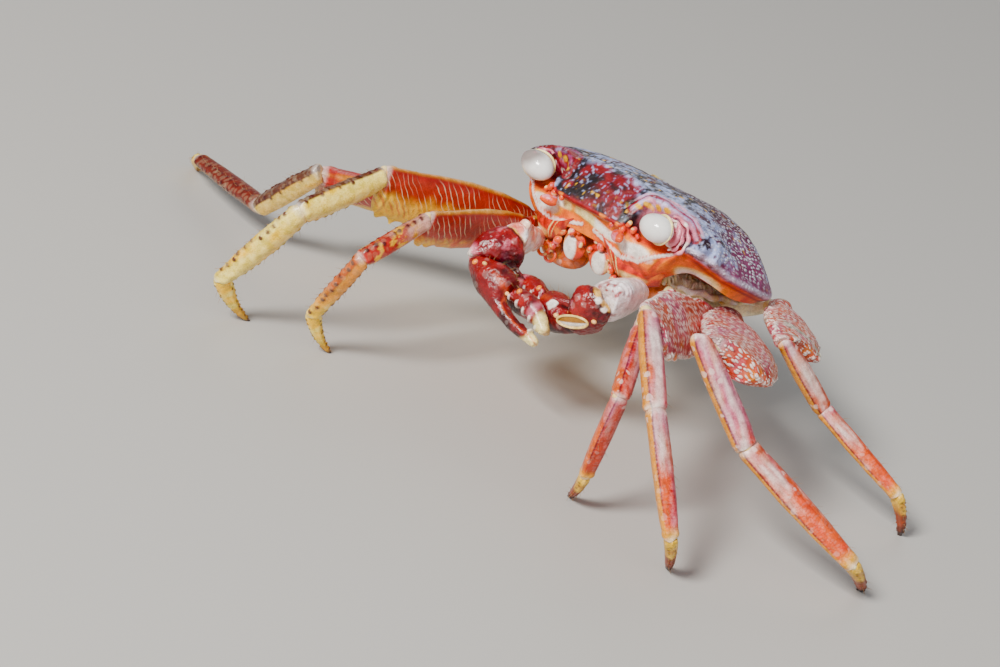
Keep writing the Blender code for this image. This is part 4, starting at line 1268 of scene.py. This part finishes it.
def paint_claw_plate(plate, side, spine, roots):
    """One plate of a claw: arm, wrist, palm or finger."""
    kind = plate.node.split("_")[1]
    mesh, places, local, (along, across, _) = plate.skin(4, pull=3, most=0.6)
    body = to_body(places) * (SIGN[side], 1, 1)
    fine, coarse = patches(local)
    cloud = rough(local, 4.0, 3)
    fuzz = noise(local, 0.65, 12)
    ground = Coat("crimson", "claw_dark", ramp(cloud, -0.1, 0.6))
    ground("leg_red", 0.5 * coarse(5.0, 14, 0.1, 0.6))
    flecks = ramp(rough(local * (0.6, 1, 1), 1.2, 16), 0.34, 0.5) * fine(5.0, 17, -0.1, 0.4)
    relief = 0.10 * rough(local, 1.6, 11) + 0.06 * fuzz
    if kind == "arm":
        ground = Coat("arm_white", "leg_mauve", 0.35 * ramp(cloud, 0.3, 0.7))
        ground("red", 0.9 * ramp(along + 0.14 * cloud, 0.84, 0.92) * coarse(2.2, 18, -0.2, 0.1))
        ribs = np.sin(local[:, 0] * 5.2) * ramp(np.abs(across), 0.35, 0.9)
        ribs = ribs * ramp(across, 0.5, 0.8)
        relief += (0.14 * ribs + (0.8 if side == "L" else -0.5) * fall(np.abs(along - 0.5), 0.3, 0.5)
                   * ramp(along, 0.05, 0.2))
        fang = 0.9 if side == "L" else 1.8
        relief += (teeth(local, plate, across, 1.0, 5, fang)
                   + teeth(local, plate, across, -1.0, 4, 0.7 * fang))
        if side == "R":
            ground("salmon", 0.7 * ramp(cloud, -0.1, 0.3))
            ground("gill", 0.5 * fine(1.8, 71, 0.1, 0.5))
        ground("leg_mauve", 0.4 * ramp(-ribs, 0.2, 0.7))
        flecks = 0 * along
    if kind == "wrist":
        relief += 0.10 * fuzz + 0.12 * fine(1.3, 19, 0.3, 0.6)
        margin = bump(along, 0.10, 0.05)
        ground("skin", fall(along, 0.05, 0.09))
        ground("claw_dark", 0.8 * margin)
        ground("purple_line", 0.5 * fine(2.4, 21, 0.35, 0.6))
        near = np.linalg.norm(places - spine, axis=1)
        if side == "R":
            ground("stalk", fall(near, 1.6, 3.6))
            ground("white", fall(near, 0.6, 1.8))
        for spot, radius in (((19.0, 35.8, -17.7), 1.0), ((20.6, 34.5, -19.0), 0.9)):
            reach = np.linalg.norm(body - spot, axis=1)
            ground("white", fall(reach + 0.3 * fuzz, radius * 0.6, radius))
    if kind == "palm":
        fixed = ramp(along, 0.45, 0.6)
        inner = ramp(local[:, 1], -1.8, -1.0) * fixed
        ground("cream", ramp(along + 0.05 * cloud, 0.88, 0.95))
        ground("yellow", 0.7 * inner * coarse(1.8, 23, -0.1, 0.3))
        ground("leg_orange", 0.4 * bump(across, 0.2, 0.3) * ramp(along, 0.2, 0.4))
        bite = inner * np.maximum(0, np.sin(local[:, 0] * 2.6)) * fall(along, 0.9, 0.96)
        relief += 0.55 * bite + 0.35 * bump(along, 0.30, 0.2)
        ground("white", 0.8 * ramp(bite, 0.3, 0.7))
        flecks = flecks * (1 - fixed)
        reach = np.linalg.norm(body - (7.9, 32.8, -23.5), axis=1)
        ground("white", fall(reach + 0.3 * fuzz, 0.9, 1.4))
        chosen = np.nonzero((across > 0.4) & (along < 0.45))[0]
        roots.extend(root_of(mesh, int(i), plate) for i in chosen[::max(1, len(chosen) // 26)])
    if kind == "finger":
        ground("stalk", 0.6 * bump(along, 0.56, 0.12))
        ground("cream", ramp(along + 0.05 * cloud, 0.62, 0.76))
        ground("dactyl", 0.5 * ramp(along, 0.93, 1.0))
        bite = (ramp(-across, 0.35, 0.8) * np.maximum(0, np.sin(local[:, 0] * 2.6 + 1))
                * fall(along, 0.85, 0.95))
        relief += (0.5 * bite + 0.45 * bump(along, 0.5, 0.45) - 0.35 * bump(along, 0.97, 0.08)
                   * ramp(-across, -0.2, 0.6))
        ground("white", 0.8 * ramp(bite, 0.3, 0.7))
        flecks = flecks * fall(along, 0.3, 0.5)
    ground("stalk", 0.45 * flecks)
    raise_relief(mesh, relief)
    show(plate.node + "_shell", mesh, ground, "claw_shell", "claw shell", plate.node, (0, 0.1, 0.25), local)


def build_fittings(side, plates):
    """Knobs at the joints and, on the left claw, the pale-rimmed opening between wrist and palm."""
    _, axes = body_axes()
    meshes, tints = [], []

    def add(mesh, tint):
        meshes.append(mesh)
        tints.append(np.broadcast_to(tint, (len(mesh.vertices), 3)))

    knobs = {"L": ((10.6, 33.9, -25.0, 0.6), (11.8, 34.5, -25.0, 0.4), (19.4, 33.8, -22.2, 0.55)),
             "R": ((-7.6, 40.2, -22.6, 0.5), (-0.8, 37.4, -26.0, 0.55))}
    for *place, radius in knobs[side]:
        add(ball_mesh(from_body(place), axes[[1, 0, 2]] * radius * np.array([[1.0], [1.2], [0.9]]), 12, 16),
            blend("cream", "leg_orange", 0.4))
    for plate, sign in ((plates[2], 1), (plates[2], -1), (plates[3], 1), (plates[3], -1)):
        points = node_points(plate.node)
        root = points[plate.measures(points)[:, 0] < plate.low[0] + 2.2]
        edge = root[((root - plate.start) @ plate.flat * sign).argmax()]
        add(ball_mesh(edge, (plate.flat * 0.4, plate.axis * 0.6, plate.broad * 0.7), 12, 16),
            blend("leg_orange", "cream", 0.3))
    if side == "L":
        centre = from_body((15.2, 34.5, -24.3))
        long_way = unit(from_body((19.1, 33.6, -22.5)) - from_body((11.2, 33.6, -25.5)))
        out = square_to(from_body((15.2, 35.2, -25.0)) - centre, long_way)
        high = np.cross(out, long_way)
        rim = [centre + out * 0.2 + long_way * 3.7 * math.cos(turn) + high * 1.5 * math.sin(turn)
               for turn in np.linspace(0, math.tau, 49)]
        add(tube_mesh([(rim, 0.26)], 10), blend("cream", "ochre", 0.35))
        plug = ball_mesh(centre - out * 0.1, (long_way * 3.6, high * 1.4, out * 0.6), 24, 36)
        upper = (spots_of(plug) - centre) @ high * (1 if high[2] > 0 else -1)
        add(plug, blend("white", tone("ochre") * 0.45, ramp(upper, -0.3, 0.1)))
    show("claw_knobs_" + side, join(meshes), np.concatenate(tints), "claw_shell")


def build_claw(side):
    """A claw with its arm, fittings, joint skin and bristles."""
    plates, joints, spine = claw_plates(side)
    roots = []
    for plate in plates:
        paint_claw_plate(plate, side, spine, roots)
    build_fittings(side, plates)
    joint_skins("claw_" + side, "claw_shell", plates[:3], joints, 0.55)
    show_bristles("claw_bristles_" + side, "claw_shell", roots, 1.2, lean=0.2)


def build_legs(side):
    """The four walking legs of one side."""
    slot, roots = WORD[side] + "_leg_shell", []
    for number in (2, 3, 4, 5):
        plates, joints = leg_plates(number, side)
        paint_merus(plates[0], side, number)
        paint_shaft(plates[1], side, number, 1, roots)
        paint_shaft(plates[2], side, number, 2, roots)
        paint_dactyl(plates[3], side, number, roots)
        joint_skins(f"leg{number}_{side}", slot, plates, joints)
    show_bristles(WORD[side] + "_leg_bristles", slot, roots)


# ---------------------------------------------------------------- settings

def colour_property(key, description, default):
    return bpy.props.FloatVectorProperty(name=key.replace("_", " ").capitalize(), description=description,
                                         subtype="COLOR", size=3, min=0.0, max=1.0, default=srgb(*default))


PALETTE = {
    "shell_front": ("Ground colour of the front of the dome", (0.07, 0.01, 0.05)),
    "shell_rear": ("Ground colour of the rear of the dome", (0.26, 0.05, 0.16)),
    "shell_flank": ("Ground colour of the flanks", (0.62, 0.32, 0.48)),
    # The frost colour also paints the highlights on the tops of the front lobes.
    "frost": ("Pale bloom on the dome", (0.72, 0.77, 0.94)),
    "crest": ("Pale edge of the dome", (0.86, 0.82, 0.9)),
    "front_dark": ("Darkest part of the front", (0.07, 0.02, 0.05)),
    "front_red": ("Red patches of the front", (0.5, 0.02, 0.06)),
    "brow": ("Ridges over the eyes", (0.9, 0.62, 0.7)),
    "socket": ("Shadowed eye socket", (0.34, 0.07, 0.1)),
    "orange": ("Orange of the face", (1.0, 0.5, 0.0)),
    "orange_red": ("Red edge of the face", (0.86, 0.16, 0.0)),
    "red": ("Deep red lines", (0.6, 0.03, 0.05)),
    "cream": ("Cream of the face", (1.0, 0.93, 0.68)),
    "white": ("White ridges", (1.0, 0.97, 0.93)),
    "yellow": ("Yellow flecks", (0.98, 0.74, 0.16)),
    "dark_line": ("Dark lines between plates", (0.34, 0.06, 0.03)),
    "leg_pink": ("Ground of the left leg blades", (0.8, 0.42, 0.32)),
    "leg_mauve": ("Second ground of the left legs", (0.76, 0.42, 0.52)),
    "leg_red": ("Red of the legs", (0.72, 0.08, 0.02)),
    "leg_green": ("Green blotches of the last leg", (0.62, 0.68, 0.58)),
    "leg_cream": ("Pale ends of the legs", (1.0, 0.91, 0.54)),
    "leg_yellow": ("Ground of the right legs", (1.0, 0.8, 0.34)),
    "leg_orange": ("Second ground of the right legs", (0.95, 0.34, 0.03)),
    "ochre": ("Strip down the left legs", (0.86, 0.58, 0.2)),
    "purple_line": ("Line beside the ochre strip", (0.3, 0.06, 0.16)),
    "maroon": ("Upper edge of the right legs", (0.28, 0.01, 0.04)),
    "dactyl": ("Brown of the last joint", (0.6, 0.24, 0.08)),
    "tip": ("Dark tips of the legs", (0.2, 0.07, 0.03)),
    "crimson": ("Ground of the claws", (0.49, 0.0, 0.04)),
    "claw_dark": ("Darkest part of the claws", (0.2, 0.0, 0.02)),
    "arm_white": ("White of the claw arms", (1.0, 0.97, 0.97)),
    "pearl": ("Pearly white of the eyes", (0.97, 0.96, 0.94)),
    "pearl_brown": ("Brown veil on the eyes", (0.34, 0.2, 0.16)),
    "stalk": ("Pink of the eyestalks", (0.92, 0.6, 0.66)),
    "salmon": ("Salmon of the mouthparts", (0.92, 0.36, 0.18)),
    "skin": ("Skin between the plates", (0.95, 0.78, 0.5)),
    # Near white: the gills' tan lightened to make up for the shadow they sit in, which is painted light.
    "gill": ("Tan of the gills", (1.0, 0.95, 0.82)),
    "belly": ("Underside of the body", (0.95, 0.74, 0.44)),
    "bristle": ("Bristles", (0.66, 0.48, 0.28)),
    "floor": ("Floor of the stage", (0.74, 0.73, 0.71)),
}


class CrabColours(bpy.types.PropertyGroup):
    """Colours of the crab."""
    __annotations__ = {key: colour_property(key, *value) for key, value in PALETTE.items()}


class CrabSizes(bpy.types.PropertyGroup):
    """Sizes that shape the looks."""
    pitch: bpy.props.FloatProperty(
        name="Body pitch", description="How far the front of the body is raised", subtype="ANGLE",
        default=math.radians(21.5))
    bristle: bpy.props.FloatProperty(
        name="Bristle length", description="Length of the bristles on the legs", subtype="DISTANCE",
        unit="LENGTH", default=0.0016, min=0.0002, max=0.005)
    eye_rim: bpy.props.FloatProperty(
        name="Eye rim", description="Thickness of the rim round each eye", subtype="DISTANCE",
        unit="LENGTH", default=0.00026, min=0.0001, max=0.001)


# ---------------------------------------------------------------- operators

def for_sides(build):
    """Run one build function for the left and the right side."""
    need_materials()
    for side in SIGN:
        build(side)
    return {"FINISHED"}


class CRAB_OT_carapace(bpy.types.Operator):
    """Build the carapace and the face"""
    bl_idname = "crab.carapace"
    bl_label = "Carapace"

    def execute(self, context):
        need_materials()
        paint_carapace(rounded("carapace", 4, pull=4, most=1.0))
        return {"FINISHED"}


class CRAB_OT_eyes(bpy.types.Operator):
    """Build the eyes and their stalks"""
    bl_idname = "crab.eyes"
    bl_label = "Eyes"

    def execute(self, context):
        return for_sides(build_eye)


class CRAB_OT_mouth(bpy.types.Operator):
    """Build the feelers and mouthparts"""
    bl_idname = "crab.mouth"
    bl_label = "Feelers and mouthparts"

    def execute(self, context):
        return for_sides(build_mouth)


class CRAB_OT_face(bpy.types.Operator):
    """Build the plates, folds, knobs and gills round the face and flanks"""
    bl_idname = "crab.face"
    bl_label = "Face and gills"

    def execute(self, context):
        return for_sides(build_face)


class CRAB_OT_body(bpy.types.Operator):
    """Build the underside: thorax and abdomen"""
    bl_idname = "crab.underside"
    bl_label = "Underside"

    def execute(self, context):
        need_materials()
        for node, name in (("thorax", "sternum"), ("abdomen", "tail")):
            build_underside(node, name)
        return {"FINISHED"}


class CRAB_OT_claws(bpy.types.Operator):
    """Build the claws and their arms"""
    bl_idname = "crab.claws"
    bl_label = "Claws"

    def execute(self, context):
        return for_sides(build_claw)


class CRAB_OT_legs(bpy.types.Operator):
    """Build the walking legs"""
    bl_idname = "crab.legs"
    bl_label = "Walking legs"

    def execute(self, context):
        return for_sides(build_legs)


# Camera: angles in degrees, then millimetres from the point on the floor below the body origin
CAMERA_TURN, CAMERA_RISE, CAMERA_ROLL, CAMERA_ANGLE = 35.48, 22.86, 17.28, 24.0
CAMERA_BACK, CAMERA_RIGHT, CAMERA_UP = 546.9, -22.59, 10.17
LIGHTS = (      # name, place, size, power, colour
    ("key", (0.02, -1.1, 0.92), 0.34, 33.0, (1.0, 0.97, 0.93)),
    ("fill", (1.0, -0.5, 0.6), 1.2, 4.5, (0.92, 0.96, 1.0)),
    ("rim", (-0.5, 0.9, 0.8), 0.8, 3.0, (1.0, 1.0, 1.0)))
LIGHTS_AIM = Vector((0, 0, 0.02))
SKY_COLOUR, SKY_STRENGTH = (0.9, 0.93, 1.0, 1), 0.22


class CRAB_OT_stage(bpy.types.Operator):
    """Lay the floor, the lights and the camera"""
    bl_idname = "crab.stage"
    bl_label = "Stage"

    def execute(self, context):
        mesh = bpy.data.meshes.new("floor")
        corners = ((-1, -1), (1, -1), (1, 1), (-1, 1))
        mesh.from_pydata([(x * FLOOR_HALF, y * FLOOR_HALF, 0) for x, y in corners], [], [(0, 1, 2, 3)])
        floor = bpy.data.objects.new("floor", mesh)
        context.scene.collection.objects.link(floor)
        material = bpy.data.materials.new("floor")
        material.use_nodes = True
        shader = material.node_tree.nodes["Principled BSDF"]
        shader.inputs["Base Color"].default_value = (*tone("floor"), 1)
        shader.inputs["Roughness"].default_value = 0.7
        mesh.materials.append(material)
        for name, place, size, power, tint in LIGHTS:
            light = bpy.data.lights.new(name, "AREA")
            light.size, light.energy, light.color = size, power, tint
            lamp = bpy.data.objects.new(name, light)
            lamp.location = place
            lamp.rotation_euler = (LIGHTS_AIM - Vector(place)).to_track_quat("-Z", "Y").to_euler()
            context.scene.collection.objects.link(lamp)
        world = bpy.data.worlds.new("studio")
        world.use_nodes = True
        world.node_tree.nodes["Background"].inputs["Color"].default_value = SKY_COLOUR
        world.node_tree.nodes["Background"].inputs["Strength"].default_value = SKY_STRENGTH
        context.scene.world = world

        turn, rise, roll = (math.radians(angle) for angle in (CAMERA_TURN, CAMERA_RISE, CAMERA_ROLL))
        back = np.array((math.sin(turn) * math.cos(rise), -math.cos(turn) * math.cos(rise), math.sin(rise)))
        level = np.array((math.cos(turn), math.sin(turn), 0))
        right = math.cos(roll) * level + math.sin(roll) * np.cross(back, level)
        up = np.cross(back, right)
        place = body_axes()[0] * (1, 1, 0) + back * CAMERA_BACK + right * CAMERA_RIGHT + up * CAMERA_UP
        data = bpy.data.cameras.new("camera")
        data.angle, data.clip_start, data.clip_end = math.radians(CAMERA_ANGLE), 0.01, 20
        camera = bpy.data.objects.new("camera", data)
        columns = np.column_stack([right, up, back, place * MM])
        camera.matrix_world = Matrix(np.vstack([columns, (0, 0, 0, 1)]))
        context.scene.collection.objects.link(camera)
        context.scene.camera = camera
        return {"FINISHED"}


class CRAB_PT_panel(bpy.types.Panel):
    """Crab tools"""
    bl_idname = "CRAB_PT_panel"
    bl_label = "Shore crab"
    bl_space_type = "VIEW_3D"
    bl_region_type = "UI"
    bl_category = "Crab"

    def draw(self, context):
        for key in CrabSizes.__annotations__:
            self.layout.prop(context.scene.crab_sizes, key)
        for key in PALETTE:
            self.layout.prop(context.scene.crab_colours, key)
        for operator in OPERATORS:
            self.layout.operator(operator.bl_idname)


OPERATORS = (CRAB_OT_carapace, CRAB_OT_eyes, CRAB_OT_mouth, CRAB_OT_face, CRAB_OT_body, CRAB_OT_claws,
             CRAB_OT_legs, CRAB_OT_stage)
CLASSES = (CrabColours, CrabSizes) + OPERATORS + (CRAB_PT_panel,)


def register():
    for item in CLASSES:
        bpy.utils.register_class(item)
    bpy.types.Scene.crab_colours = bpy.props.PointerProperty(type=CrabColours)
    bpy.types.Scene.crab_sizes = bpy.props.PointerProperty(type=CrabSizes)


def unregister():
    del bpy.types.Scene.crab_sizes
    del bpy.types.Scene.crab_colours
    for item in reversed(CLASSES):
        bpy.utils.unregister_class(item)


def main():
    register()
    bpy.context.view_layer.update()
    for operator in OPERATORS:
        group, call = operator.bl_idname.split(".")
        getattr(getattr(bpy.ops, group), call)()


if __name__ == "__main__":
    main()
